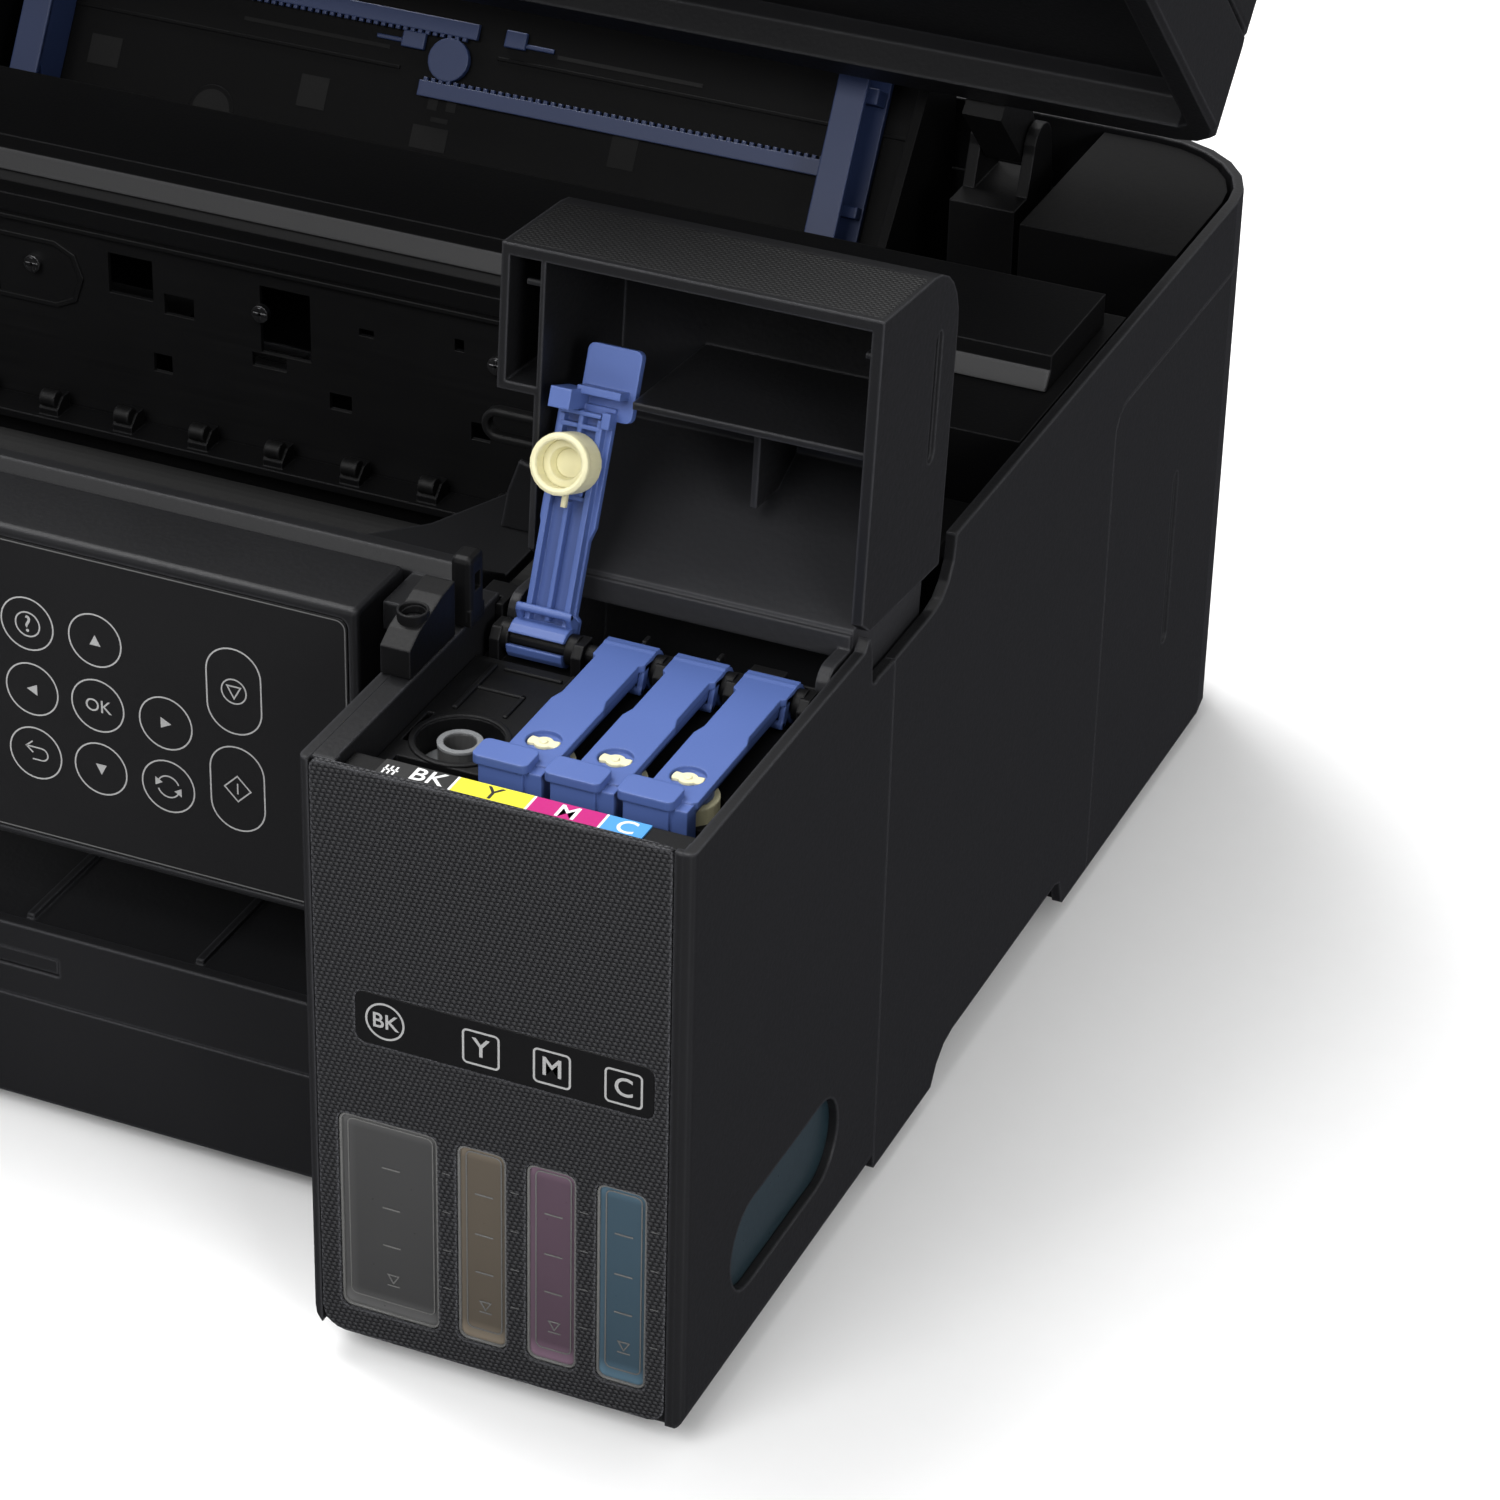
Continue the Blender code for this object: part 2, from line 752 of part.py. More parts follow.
def tank_deck():
    """The black deck inside the top, with a well round each filler neck."""
    left = TANK_LEFT + TANK_LEDGE + GAP
    right = HALF_W - WALL - GAP
    front = TANK_FRONT + SKIN_THICKNESS + 2.5 + 2 * GAP
    rear = -101.2
    deck = box("tank_deck", (left, right), (front, rear), (DECK_Z - 13.0, DECK_Z), DARK)
    strip_ledge = box("deck_step", (left, right), (front, front + 5.6), (DECK_Z - 2, 141.2), None, True)
    trench = box("deck_trench", (left - 1, right + 1), (-109.4, rear + 5), (DECK_Z - 1.8, DECK_Z + 5), None, True)
    cut(add(deck, strip_ledge), trench)
    for i, x in enumerate((113.4, 131.8, 150.0, 165.5, 181.6)):
        bearing = outline(
            "deck_bearing_%d" % i,
            "X",
            [(-108.0, DECK_Z - 3), (-102.0, DECK_Z - 3), (-102.0, 140.8), (-106.4, 140.8), (-108.0, 138.6)],
            x - 1.1,
            x + 1.1,
            None,
            True,
        )
        add(deck, bearing)
    hole = cylinder(
        "deck_rod_hole", "X", ((left + right) / 2, LEVER_HINGE_Y, LEVER_HINGE_Z), ROD_RADIUS + GAP, 90, None, True, sides=16
    )
    cut(deck, hole)
    for ink, x in PORT_X.items():
        well = 9.0 if ink == "bk" else 7.5
        cut(
            deck,
            cylinder("deck_well_" + ink, "Z", (x, PORT_Y[ink], DECK_Z), well, 18.0, None, True, sides=20),
            cylinder("deck_neck_" + ink, "Z", (x, PORT_Y[ink], DECK_Z - 12), NECK_RADIUS + GAP, 40.0, None, True, sides=16),
        )
    cut(
        deck,
        box("deck_slot", (111.6, 112.9), (-146.0, -134.0), (DECK_Z - 6, DECK_Z + 5), None, True),
        box("deck_under", (left + 1.5, right - 1.5), (front + 1.5, rear - 1.5), (DECK_Z - 20, DECK_Z - 11.5), None, True),
        box("deck_leg_well", (left + 3.0, right - 0.8), (front + 6.6, -151.6), (DECK_Z - 6.5, DECK_Z + 2), None, True),
    )
    return deck


def lever_rod():
    return cylinder(
        "lever_rod", "X", (147.6, LEVER_HINGE_Y, LEVER_HINGE_Z), ROD_RADIUS, 72.0, DARK, sides=16
    )


def lever(ink):
    """One cap lever, modelled closed, with its rubber cap."""
    x, port = PORT_X[ink], PORT_Y[ink]
    hand = -1 if ink == "bk" else 1
    half = LEVER_WIDTH[ink] / 2
    front = LEVER_FRONT[ink]
    hinge = (LEVER_HINGE_Y, LEVER_HINGE_Z)

    def across(low, high):
        """Two limits across the lever, mirrored on the black one."""
        return sorted((x + hand * low, x + hand * high))

    plan = [
        (-half, hinge[0] + 2.0),
        (half, hinge[0] + 2.0),
        (half, -109.6),
        (half - 0.9, -110.4),
        (half - 0.9, -126.0),
        (half, -129.0),
        (half, -152.6),
        (half - 1.0, -153.6),
        (-half, -153.6),
        (-half, -129.0),
        (-half + 0.9, -126.0),
        (-half + 0.9, -110.4),
        (-half, -109.6),
    ]
    arm = outline(
        "lever_" + ink,
        "Z",
        [(x + hand * u, v) for u, v in plan],
        LEVER_TOP - 1.6,
        LEVER_TOP,
        BLUE,
    )
    barrel = cylinder(
        "barrel_" + ink, "X", (x, *hinge), ROD_RADIUS + 2.2, 2 * half, None, True, sides=16
    )
    flanges = [
        box(
            "flange_%s_%d" % (ink, side > 0),
            sorted((x + side * (half - 1.3), x + side * (half - 2.5))),
            (-151.0, hinge[0] - 2.0),
            (LEVER_TOP - 4.0, LEVER_TOP - 0.4),
            None,
            True,
        )
        for side in (-1, 1)
    ]
    tab = outline(
        "tab_" + ink,
        "Z",
        rounded(across(-9.4, 2.6), (front, -151.0), 1.4, 3),
        LEVER_TOP - 0.2,
        LEVER_TOP + 1.8,
        None,
        True,
    )
    riser = box(
        "riser_" + ink, across(-8.0, 1.6), (-157.4, -155.8), (LEVER_TOP - 5.0, LEVER_TOP + 0.6), None, True
    )
    leg = box(
        "leg_" + ink, across(0.6, 5.2), (-156.6, -152.4), (LEVER_TOP - 10.0, LEVER_TOP - 0.3), None, True
    )
    hub = cylinder("hub_" + ink, "Z", (x, port, LEVER_TOP - 2.2), 5.2, 3.6, None, True, sides=20)
    add(arm, barrel, *flanges, tab, riser, leg, hub)
    cut(
        arm,
        cylinder("rod_bore_" + ink, "X", (x, *hinge), ROD_RADIUS + GAP, 20, None, True, sides=16),
        box(
            "rod_mouth_" + ink,
            (x - 9, x + 9),
            (hinge[0] - 1.3, hinge[0] + 1.3),
            (hinge[1] - 9, hinge[1]),
            None,
            True,
        ),
        cylinder("key_recess_" + ink, "Z", (x, port, LEVER_TOP + 1), 3.7, 4.0, None, True, sides=20),
    )
    cap_top = LEVER_TOP - 4.0 - GAP
    cap = cylinder(
        "cap_" + ink, "Z", (x, port, cap_top - CAP_HEIGHT / 2), CAP_RADIUS, CAP_HEIGHT, CREAM, sides=24
    )
    bore = cylinder(
        "cap_bore_" + ink,
        "Z",
        (x, port, cap_top - CAP_HEIGHT),
        CAP_BORE,
        2 * CAP_HEIGHT - 3.0,
        None,
        True,
        sides=20,
    )
    return arm, cut(cap, bore)


def swing_lever(ink, opening):
    empty = pivot("lever_axis_" + ink, LEVER_HINGE_Y, LEVER_HINGE_Z, PORT_X[ink])
    hang(empty, *lever(ink))
    empty.rotation_euler.x = -math.radians(opening)


def post():
    upright = box("tank_post", (107.0, 111.8), (-115.0, -108.6), (TANK_TOP + GAP, 160.0), DARK, bevel=1.2, segments=2)
    foot = box("post_foot", (105.0, 111.7), (-114.9, -108.7), (TANK_TOP + GAP, TANK_TOP + 4.0), None, True)
    slot = box("post_slot", (106.0, 115.5), (-113.2, -110.6), (152.0, 156.0), None, True)
    return cut(add(upright, foot), slot)


def hinge_block():
    """The block on the tank unit's left edge that holds the panel's hinge screw."""
    block = outline(
        "hinge_block",
        "X",
        [
            (-138.5, TANK_TOP + GAP),
            (-138.5, 150.6),
            (-134.5, 153.0),
            (-124.0, 156.0),
            (-118.5, 156.6),
            (-118.5, TANK_TOP + GAP),
        ],
        TANK_LEFT + 0.2,
        TANK_LEFT + TANK_LEDGE - 0.2,
        BLACK,
    )
    well = cylinder(
        "block_well", "Z", (TANK_LEFT + TANK_LEDGE / 2, -130.5, 156.0), 2.7, 14.0, None, True, sides=20
    )
    screw = cylinder(
        "hinge_screw", "Z", (TANK_LEFT + TANK_LEDGE / 2, -130.5, 150.1), 2.3, 1.6, METAL, sides=20
    )
    return cut(block, well), screw


# Tank cover, modelled closed


def tank_cover():
    left = TANK_LEFT + 1.4
    right = HALF_W - 0.2
    step = TANK_LEFT + COVER_STEP_X
    bottom = TANK_TOP + 0.5
    corner = 15.0
    profile = [(COVER_REAR, bottom + 4.5), (COVER_REAR, COVER_TOP)]
    profile += arc(TANK_FRONT + corner, COVER_TOP - corner, corner, 90, 180, 6)
    profile += [(TANK_FRONT, bottom), (-108.0, bottom)]
    shell = outline("tank_cover", "X", profile, left, right, BLACK)
    # The rear part sits inside the side walls and swings down behind the tanks
    reach = COVER_SWING
    top_angle = math.degrees(math.asin((COVER_TOP - 1.0 - COVER_HINGE_Z) / reach))
    low_angle = math.degrees(math.asin((RIM_Z + 1.4 - COVER_HINGE_Z) / reach))
    rear_profile = [(-108.0, COVER_TOP - 1.0)]
    rear_profile += arc(COVER_HINGE_Y, COVER_HINGE_Z, reach, top_angle, low_angle, 6)
    rear_profile += [(-108.0, RIM_Z + 1.4)]
    rear = outline("cover_rear", "X", rear_profile, step, HALF_W - WALL - 0.8, None, True)
    add(shell, rear)
    # Left column ends at the hinge block
    clear = box(
        "cover_step",
        (left - 5, step),
        (COVER_STEP_Y, COVER_REAR + 10),
        (bottom - 5, COVER_TOP + 5),
        None,
        True,
    )
    cut(shell, clear)
    skirt_top = (-124.0, COVER_TOP - WALL)
    skirt_low = (-103.5, bottom + 1.0)
    inner_front = TANK_FRONT + WALL
    inner = [
        (inner_front, bottom - 5),
        (skirt_low[0], bottom - 5),
        skirt_low,
        skirt_top,
    ]
    inner += arc(inner_front + corner - WALL, COVER_TOP - corner, corner - WALL, 90, 180, 5)
    hollow = outline("cover_hollow", "X", inner, step + 1.4, right - WALL, None, True)
    column = box(
        "cover_column",
        (left + 1.8, step + 0.4),
        (inner_front, COVER_STEP_Y - 1.8),
        (bottom - 5, COVER_TOP - corner),
        None,
        True,
    )
    rear_hollow = [
        (skirt_low[0] + 3.2, RIM_Z - 5),
        (skirt_low[0] + 3.2, RIM_Z + 1.0),
        (skirt_top[0] + 2.8, COVER_TOP - 3.6),
    ]
    rear_hollow += arc(COVER_HINGE_Y, COVER_HINGE_Z, reach - 2.2, top_angle - 3.0, low_angle - 6, 6)
    rear_hollow += [(COVER_HINGE_Y + reach - 2.2, RIM_Z - 5)]
    back = outline(
        "cover_back_hollow", "X", rear_hollow, step + 1.4, HALF_W - WALL - 0.8 - 2.0, None, True
    )
    cut(shell, hollow, column, back)
    # The wall that presses the levers down, and two ribs
    press = box(
        "cover_press_wall",
        (133.2, right - 1.0),
        (-143.6, -142.1),
        (148.0, COVER_TOP - 1.0),
        None,
        True,
    )
    rib = box("cover_rib", (153.6, 155.0), (-142.6, -119.0), (164.0, COVER_TOP - 1.0), None, True)
    lip = box(
        "cover_lip",
        (step + 0.2, HALF_W - WALL - 1.0),
        (-104.0, -98.8),
        (RIM_Z + 0.2, RIM_Z + 2.0),
        None,
        True,
    )
    add(shell, press, rib, lip)
    # Ears round the hinge pins
    ear = outline(
        "cover_ear_right",
        "X",
        [(-101.0, bottom + 8)]
        + arc(COVER_HINGE_Y, COVER_HINGE_Z, 4.4, 180, 360, 8)
        + [(-92.0, bottom + 8)],
        HALF_W - WALL - 3.6,
        HALF_W - WALL - 0.8,
        None,
        True,
    )
    ear_left = outline(
        "cover_ear_left",
        "X",
        [(-101.0, bottom + 8)]
        + arc(COVER_HINGE_Y, COVER_HINGE_Z, 4.4, 180, 360, 8)
        + [(-92.0, bottom + 8)],
        step,
        step + 2.1,
        None,
        True,
    )
    add(shell, ear, ear_left)
    bore = cylinder(
        "cover_bore", "X", (145.0, COVER_HINGE_Y, COVER_HINGE_Z), 2.0 + GAP, 120, None, True, sides=16
    )
    grip = outline(
        "cover_grip",
        "X",
        rounded((-160.5, -131.5), (174.8, 178.8), 1.99, 4),
        right - 1.0,
        right + 5,
        None,
        True,
    )
    cut(shell, bore, grip)
    return shell


def left_hinge_boss():
    """The pin on the left of the tank cover, held by the tank unit's edge."""
    step = TANK_LEFT + COVER_STEP_X
    boss = box(
        "cover_hinge_boss",
        (TANK_LEFT + TRIM_LEFT + GAP, step - 1.0),
        (-100.8, -92.0),
        (100.0, 142.6),
        DARK,
    )
    pin = cylinder("boss_pin", "X", (step, COVER_HINGE_Y, COVER_HINGE_Z), 2.0, 6.0, None, True, sides=16)
    notch = box(
        "boss_ledge_notch",
        (TANK_LEFT - 1, TANK_LEFT + TANK_LEDGE + 0.3),
        (-110.0, -97.7),
        (TANK_TOP - 14.0, TANK_TOP + 5),
        None,
        True,
    )
    return cut(add(boss, pin), notch)


# Control panel


def control_panel():
    front = PANEL_FRONT
    housing = box(
        "panel_housing",
        (PANEL_LEFT, PANEL_RIGHT),
        (front + 0.0, front + PANEL_DEPTH),
        (PANEL_BOTTOM, PANEL_TOP),
        BLACK,
        bevel=1.2,
        segments=2,
    )
    inside = box(
        "panel_inside",
        (PANEL_LEFT + 2.5, PANEL_RIGHT - 2.5),
        (front + 2.8, front + PANEL_DEPTH + 5),
        (PANEL_BOTTOM + 2.5, PANEL_TOP - 2.5),
        None,
        True,
    )
    recess = outline(
        "panel_recess",
        "Y",
        rounded((PANEL_LEFT + 2.0, PANEL_RIGHT - 2.0), (PANEL_BOTTOM + 2.0, PANEL_TOP - 2.4), 2.3, 3),
        front - 5,
        front + 0.9,
        None,
        True,
    )
    hinge_hole = cylinder(
        "panel_hinge_hole",
        "X",
        ((PANEL_LEFT + PANEL_RIGHT) / 2, front + 15.0, PANEL_TOP - 5.5),
        2.3,
        BODY_WIDTH,
        None,
        True,
        sides=16,
    )
    button_hole = cylinder("panel_button_hole", "Y", (-132.0, front, 120.0), 6.3, 20, None, True, sides=24)
    cut(housing, inside, recess, hinge_hole, button_hole)
    film = outline(
        "panel_film",
        "Y",
        rounded((PANEL_LEFT + 2.3, PANEL_RIGHT - 2.3), (PANEL_BOTTOM + 2.3, PANEL_TOP - 2.7), 2.0, 3),
        front,
        front + 0.6,
        LABEL,
    )
    screen = box("film_screen", (-86.0, -42.0), (front - 2, front + 0.3), (97.0, 131.0), None, True)
    film_button = cylinder("film_button_hole", "Y", (-132.0, front, 120.0), 6.3, 20, None, True, sides=24)
    cut(film, screen, film_button)
    button = cylinder("power_button", "Y", (-132.0, front + 1.6, 120.0), 6.0, 4.0, BLACK, sides=24)
    empty = pivot("panel_axis", front + 15.0, PANEL_TOP - 5.5, PANEL_RIGHT)
    hang(empty, housing, film, button)


def front_frame():
    """The fixed frame behind the panel: its round top edge, apron and end cheeks."""
    back = PANEL_FRONT + PANEL_DEPTH
    profile = [
        (back + 2.8, 131.0),
        (-76.0, 131.0),
        (-76.0, 134.6),
        (-88.0, 141.6),
        (-90.0, 144.6),
        (-92.0, 146.2),
        (-95.4, 146.3),
        (back + 2.8, 143.6),
    ]
    frame = outline("front_frame", "X", profile, PATH_LEFT, PATH_RIGHT, BLACK)
    pieces = []
    for i, (low, high) in enumerate(((PATH_LEFT, PATH_LEFT + 2.5), (PATH_RIGHT - 2.5, PATH_RIGHT))):
        pieces.append(
            box("frame_cheek_%d" % i, (low, high), (-98.0, -78.0), (BOTTOM_Z + 3.0 + GAP, 133.0), None, True)
        )
    apron = outline(
        "frame_apron",
        "Z",
        [(60.0, -78.0), (PATH_RIGHT, -78.0), (PATH_RIGHT, -31.0), (90.0, -31.0), (76.0, -62.0)],
        131.2,
        134.0,
        None,
        True,
    )
    pieces.append(apron)
    y, z = PANEL_FRONT + 15.0, PANEL_TOP - 5.5
    for side, low, high in (
        ("right", PANEL_RIGHT + GAP, TANK_LEFT - GAP),
        ("left", PANEL_LEFT - 4.0, PANEL_LEFT - GAP),
    ):
        pieces.append(
            box("pin_arm_" + side, (low, high), (y - 4.0, -94.0), (z - 4.0, z + 2.4), None, True)
        )
        end = PANEL_RIGHT if side == "right" else PANEL_LEFT
        pieces.append(cylinder("pin_" + side, "X", (end, y, z), 2.0, 6.0, None, True, sides=16))
    pieces.append(
        box("pin_tie", (PANEL_LEFT - 4.0, PATH_LEFT + 1.0), (-97.9, -94.0), (z - 4.0, z + 2.6), None, True)
    )
    return add(frame, *pieces)


# Trays


def output_tray():
    low, high = PATH_LEFT + 3.2, PATH_RIGHT - 3.2
    back = BODY_FRONT + 6 + TRAY_DEPTH
    plate = box("output_tray", (low, high), (BODY_FRONT + 1.5, back), (TRAY_TOP - TRAY_PLATE, TRAY_TOP), BLACK)
    lip = box(
        "tray_lip",
        (PANEL_LEFT, TANK_LEFT - 2.4),
        (BODY_FRONT, BODY_FRONT + 3.0),
        (TRAY_SPLIT, TRAY_LIP),
        None,
        True,
    )
    add(plate, lip)
    for i, x in enumerate((-120.0, -78.0, -36.0, 6.0, 48.0, 84.0)):
        add(
            plate,
            box("tray_line_%d" % i, (x - 0.9, x + 0.9), (BODY_FRONT + 8, back - 4), (TRAY_TOP - 1, TRAY_TOP + 1.2), None, True),
        )
    mouth = box("tray_mouth", (-66.4, 17.4), (BODY_FRONT - 5, BODY_FRONT + 3.6), (TRAY_TOP - 7.4, TRAY_TOP - TRAY_PLATE), None, True)
    cut(plate, mouth)
    extension = box(
        "tray_extension",
        (-66.0, 17.0),
        (BODY_FRONT + 0.4, back - 12.0),
        (TRAY_TOP - 7.0, TRAY_TOP - TRAY_PLATE - GAP),
        BLACK,
    )
    empty = pivot("tray_slide", BODY_FRONT, TRAY_TOP, PAPER_X)
    hang(empty, plate, extension)


# Inner frame


def housings():
    """The two inner housings that carry the cross bar and the ends of the carriage rod."""
    floor = BOTTOM_Z + 3.0 + GAP
    made = []
    for name, low, high, wall_low, wall_high in (
        ("housing_right", PATH_RIGHT + 1.0, 181.6, 180.4, 184.4),
        ("housing_left", -184.0, PATH_LEFT - 0.6, -184.0, PATH_LEFT - 2.0),
    ):
        housing = box(name, (low, high), (14.0, 82.3), (floor, 142.0), DARK)
        inner = box(name + "_in", (low + 2.5, high - 2.5), (16.5, 79.8), (0, 139.5), None, True)
        cut(housing, inner)
        stand = box(name + "_stand", (wall_low, wall_high), (ROD_Y - 6, ROD_Y + 6), (floor, 106.0), None, True)
        rail = box(name + "_rail", (wall_low, wall_high), (ROD_Y, 15.5), (floor, 30.0), None, True)
        add(housing, stand, rail)
        middle = (wall_low + wall_high) / 2
        bore = cylinder(
            name + "_bore", "X", (middle, ROD_Y, ROD_Z), ROD_SIZE + GAP, 60, None, True, sides=20
        )
        side = 1 if low > 0 else -1
        grip = box(
            name + "_grip",
            sorted((side * 171.0, side * HALF_W)),
            (-45.0, 47.3),
            (0, BOTTOM_Z + 8.8),
            None,
            True,
        )
        made.append(cut(housing, bore, grip))
    return made


def cross_bar():
    """The bar behind the carriage chamber, lying on both housings and filling between them."""
    bar = outline(
        "cross_bar",
        "X",
        [
            (BAR_FRONT - 2.8, 142.0 + GAP),
            (BAR_REAR, 142.0 + GAP),
            (BAR_REAR, BAR_TOP),
            (BAR_FRONT, BAR_TOP),
            (BAR_FRONT, 146.4),
        ],
        -178.4,
        178.4,
        DARK,
    )
    beam = outline(
        "bar_beam",
        "X",
        [
            (31.2, CHASSIS_TOP + GAP),
            (BAR_REAR - 1.0, CHASSIS_TOP + GAP),
            (BAR_REAR - 1.0, 144.0),
            (BAR_FRONT, 144.0),
            (BAR_FRONT - 4.0, 140.0),
            (31.2, 140.0),
        ],
        PATH_LEFT,
        PATH_RIGHT,
        None,
        True,
    )
    return add(bar, beam)


def chassis():
    """The sheet-metal wall of the carriage chamber with its cutouts."""
    low, high = PATH_LEFT, PATH_RIGHT
    plate = box("chassis_plate", (low, high), (CHASSIS_Y, CHASSIS_Y + 1.2), (60.0, CHASSIS_TOP), METAL)
    holes = (
        (-57.5, -45.5, 119.0, 129.5),
        (-42.5, -34.5, 116.5, 121.8),
        (-16.5, -3.2, 112.0, 129.5),
        (-46.0, -41.0, 100.5, 105.3),
        (-19.0, -9.8, 108.0, 111.5),
        (1.6, 7.4, 101.0, 105.3),
        (34.8, 37.2, 123.8, 126.8),
        (39.0, 43.9, 101.5, 106.0),
        (9.8, 13.6, 122.2, 124.0),
        (-100.0, -88.0, 112.0, 124.0),
        (-128.0, -118.0, 100.0, 108.0),
    )
    for i, (x0, x1, z0, z1) in enumerate(holes):
        cut(plate, box("chassis_hole_%d" % i, (x0, x1), (CHASSIS_Y - 5, CHASSIS_Y + 6), (z0, z1), None, True))
    return plate


def paper_path():
    low, high = PATH_LEFT + GAP, PATH_RIGHT - GAP
    platen = box("platen", (low, high), (-40.0, 31.0), (60.0, 74.0), DARK)
    trough_feed = cylinder("platen_feed_trough", "X", (PAPER_X, 20.0, 76.0), 6.6, 300, None, True, sides=20)
    trough_exit = cylinder("platen_exit_trough", "X", (PAPER_X, -30.0, 76.0), 6.6, 300, None, True, sides=20)
    cut(platen, trough_feed, trough_exit)
    ends = []
    for i, (a, b) in enumerate(((low, low + 2.0), (high - 2.0, high))):
        end = outline(
            "platen_end_%d" % i,
            "X",
            [(-40.0, 60.0), (31.0, 60.0), (31.0, 84.0), (-40.0, 84.0)],
            a,
            b,
            None,
            True,
        )
        ends.append(end)
    add(platen, *ends)
    for i, y in enumerate((20.0, -30.0)):
        cut(platen, cylinder("platen_bore_%d" % i, "X", (PAPER_X, y, 76.0), 2.5 + GAP, 300, None, True, sides=16))
    rollers = []
    for name, y in (("feed_roller", 20.0), ("exit_roller", -30.0)):
        core = cylinder(name, "X", (PAPER_X, y, 76.0), 2.5, high - low - 2.0, METAL, sides=12)
        drum = cylinder(name + "_drum", "X", (PAPER_X, y, 76.0), 5.6, high - low - 8.0, None, True, sides=24)
        add(core, drum)
        empty = pivot(name + "_axis", y, 76.0, PAPER_X)
        hang(empty, core)
        rollers.append(core)
    holder = box("pinch_holder", (low, high), (22.6, 31.6), (84.3, 86.3), DARK)
    for i in range(12):
        x = -133.0 + 20.5 * i
        block = outline(
            "pinch_block_%d" % i,
            "X",
            [(24.0, 85.5), (30.0, 85.5), (30.0, 90.6), (27.0, 90.6), (24.0, 88.0)],
            x - 2.6,
            x + 2.6,
            None,
            True,
        )
        add(holder, block)
    return platen, rollers, holder


def carriage():
    low, high = -160.0, 184.2
    rod = cylinder(
        "carriage_rod", "X", ((low + high) / 2, ROD_Y, ROD_Z), ROD_SIZE, high - low, METAL, sides=16
    )
    body = box("print_carriage", (112.0, 176.0), (-38.4, 8.0), (89.0, 128.5), DARK, bevel=1.5)
    bore = cylinder("carriage_bore", "X", (144.0, ROD_Y, ROD_Z), ROD_SIZE + GAP, 120, None, True, sides=20)
    head = box("carriage_head", (120.0, 168.0), (-22.0, 6.0), (86.4, 90.0), None, True)
    cut(add(body, head), bore)
    empty = pivot("carriage_slide", ROD_Y, ROD_Z, 144.0)
    hang(empty, body)
    return rod, body


# Sheet feeder


def slope(s, out=0.0):
    """A point of the feeder's sloping face: distance up it, and distance out of it."""
    a = math.radians(FEED_TILT)
    return (
        FEED_BASE_Y + s * math.cos(a) - out * math.sin(a),
        FEED_BASE_Z + s * math.sin(a) + out * math.cos(a),
    )


def feeder():
    low, high = PATH_LEFT + GAP, PATH_RIGHT + 6.0
    plate = outline(
        "feeder_plate",
        "X",
        [slope(-40, 0), slope(55, 0), slope(55, -3), slope(-40, -3)],
        low,
        high,
        DARK,
    )
    for i, (a, b) in enumerate(((low, low + 2.5), (high - 2.5, high))):
        cheek = outline(
            "feeder_cheek_%d" % i,
            "X",
            [
                (96.0, BOTTOM_Z + 3.0 + GAP),
                (160.0, BOTTOM_Z + 3.0 + GAP),
                slope(55, -3),
                slope(55, 9),
                slope(8, 16),
                (110.0, 112.0),
                (96.0, 96.0),
            ],
            a,
            b,
            None,
            True,
        )
        add(plate, cheek)
    for i, s in enumerate((16.0, 34.0)):
        y, z = slope(s)
        groove = box(
            "feeder_groove_%d" % i,
            (PAPER_X - GUIDE_SPACING / 2 - 4, PAPER_X + GUIDE_SPACING / 2 + 4),
            (-1.6, 1.6),
            (-4.5, 1.0),
            None,
            True,
        )
        groove.location = Vector((PAPER_X, y, z)) * MM
        groove.rotation_euler.x = math.radians(FEED_TILT)
    return plate


def edge_guides():
    made = []
    for name, side in (("edge_guide_left", -1), ("edge_guide_right", 1)):
        x = PAPER_X + side * GUIDE_SPACING / 2
        low, high = sorted((x, x + side * 1.8))
        fin = outline(
            name,
            "X",
            [slope(-2, 0.3), slope(50, 0.3), slope(50, 8), slope(44, 13), slope(4, 13), slope(-2, 8)],
            low,
            high,
            BLUE,
        )
        foot_low, foot_high = sorted((x + side * 0.4, x + side * 10.0))
        foot = outline(
            name + "_foot",
            "X",
            [slope(-1, 0.5), slope(49, 0.5), slope(49, 2.3), slope(-1, 2.3)],
            foot_low,
            foot_high,
            None,
            True,
        )
        rack_s = 25.0 - side * 8.2
        rack_low, rack_high = sorted((x + side * 0.6, PAPER_X - side * 6.5))
        rack = outline(
            name + "_rack",
            "X",
            [
                slope(rack_s - 2.0, 0.7),
                slope(rack_s + 2.0, 0.7),
                slope(rack_s + 2.0, 2.1),
                slope(rack_s - 2.0, 2.1),
            ],
            rack_low,
            rack_high,
            None,
            True,
        )
        add(fin, foot, rack)
        empty = pivot(name + "_slide", *slope(25, 0.3), x)
        hang(empty, fin)
        made.append(fin)
    y, z = slope(25.0, 1.2)
    pinion = cylinder("guide_pinion", "Z", (0, 0, 0), 5.6, 1.7, BLUE, sides=20)
    pinion.location = Vector((PAPER_X, y, z)) * MM
    pinion.rotation_euler.x = math.radians(FEED_TILT)
    return made


def rear_box():
    plan = rounded((144.2, 183.4), (111.5, 170.0), 26.0, 6, (0, 0, 1, 0))
    return outline("rear_box", "Z", plan, BOTTOM_Z + 3.0 + GAP, 145.4, BLACK)


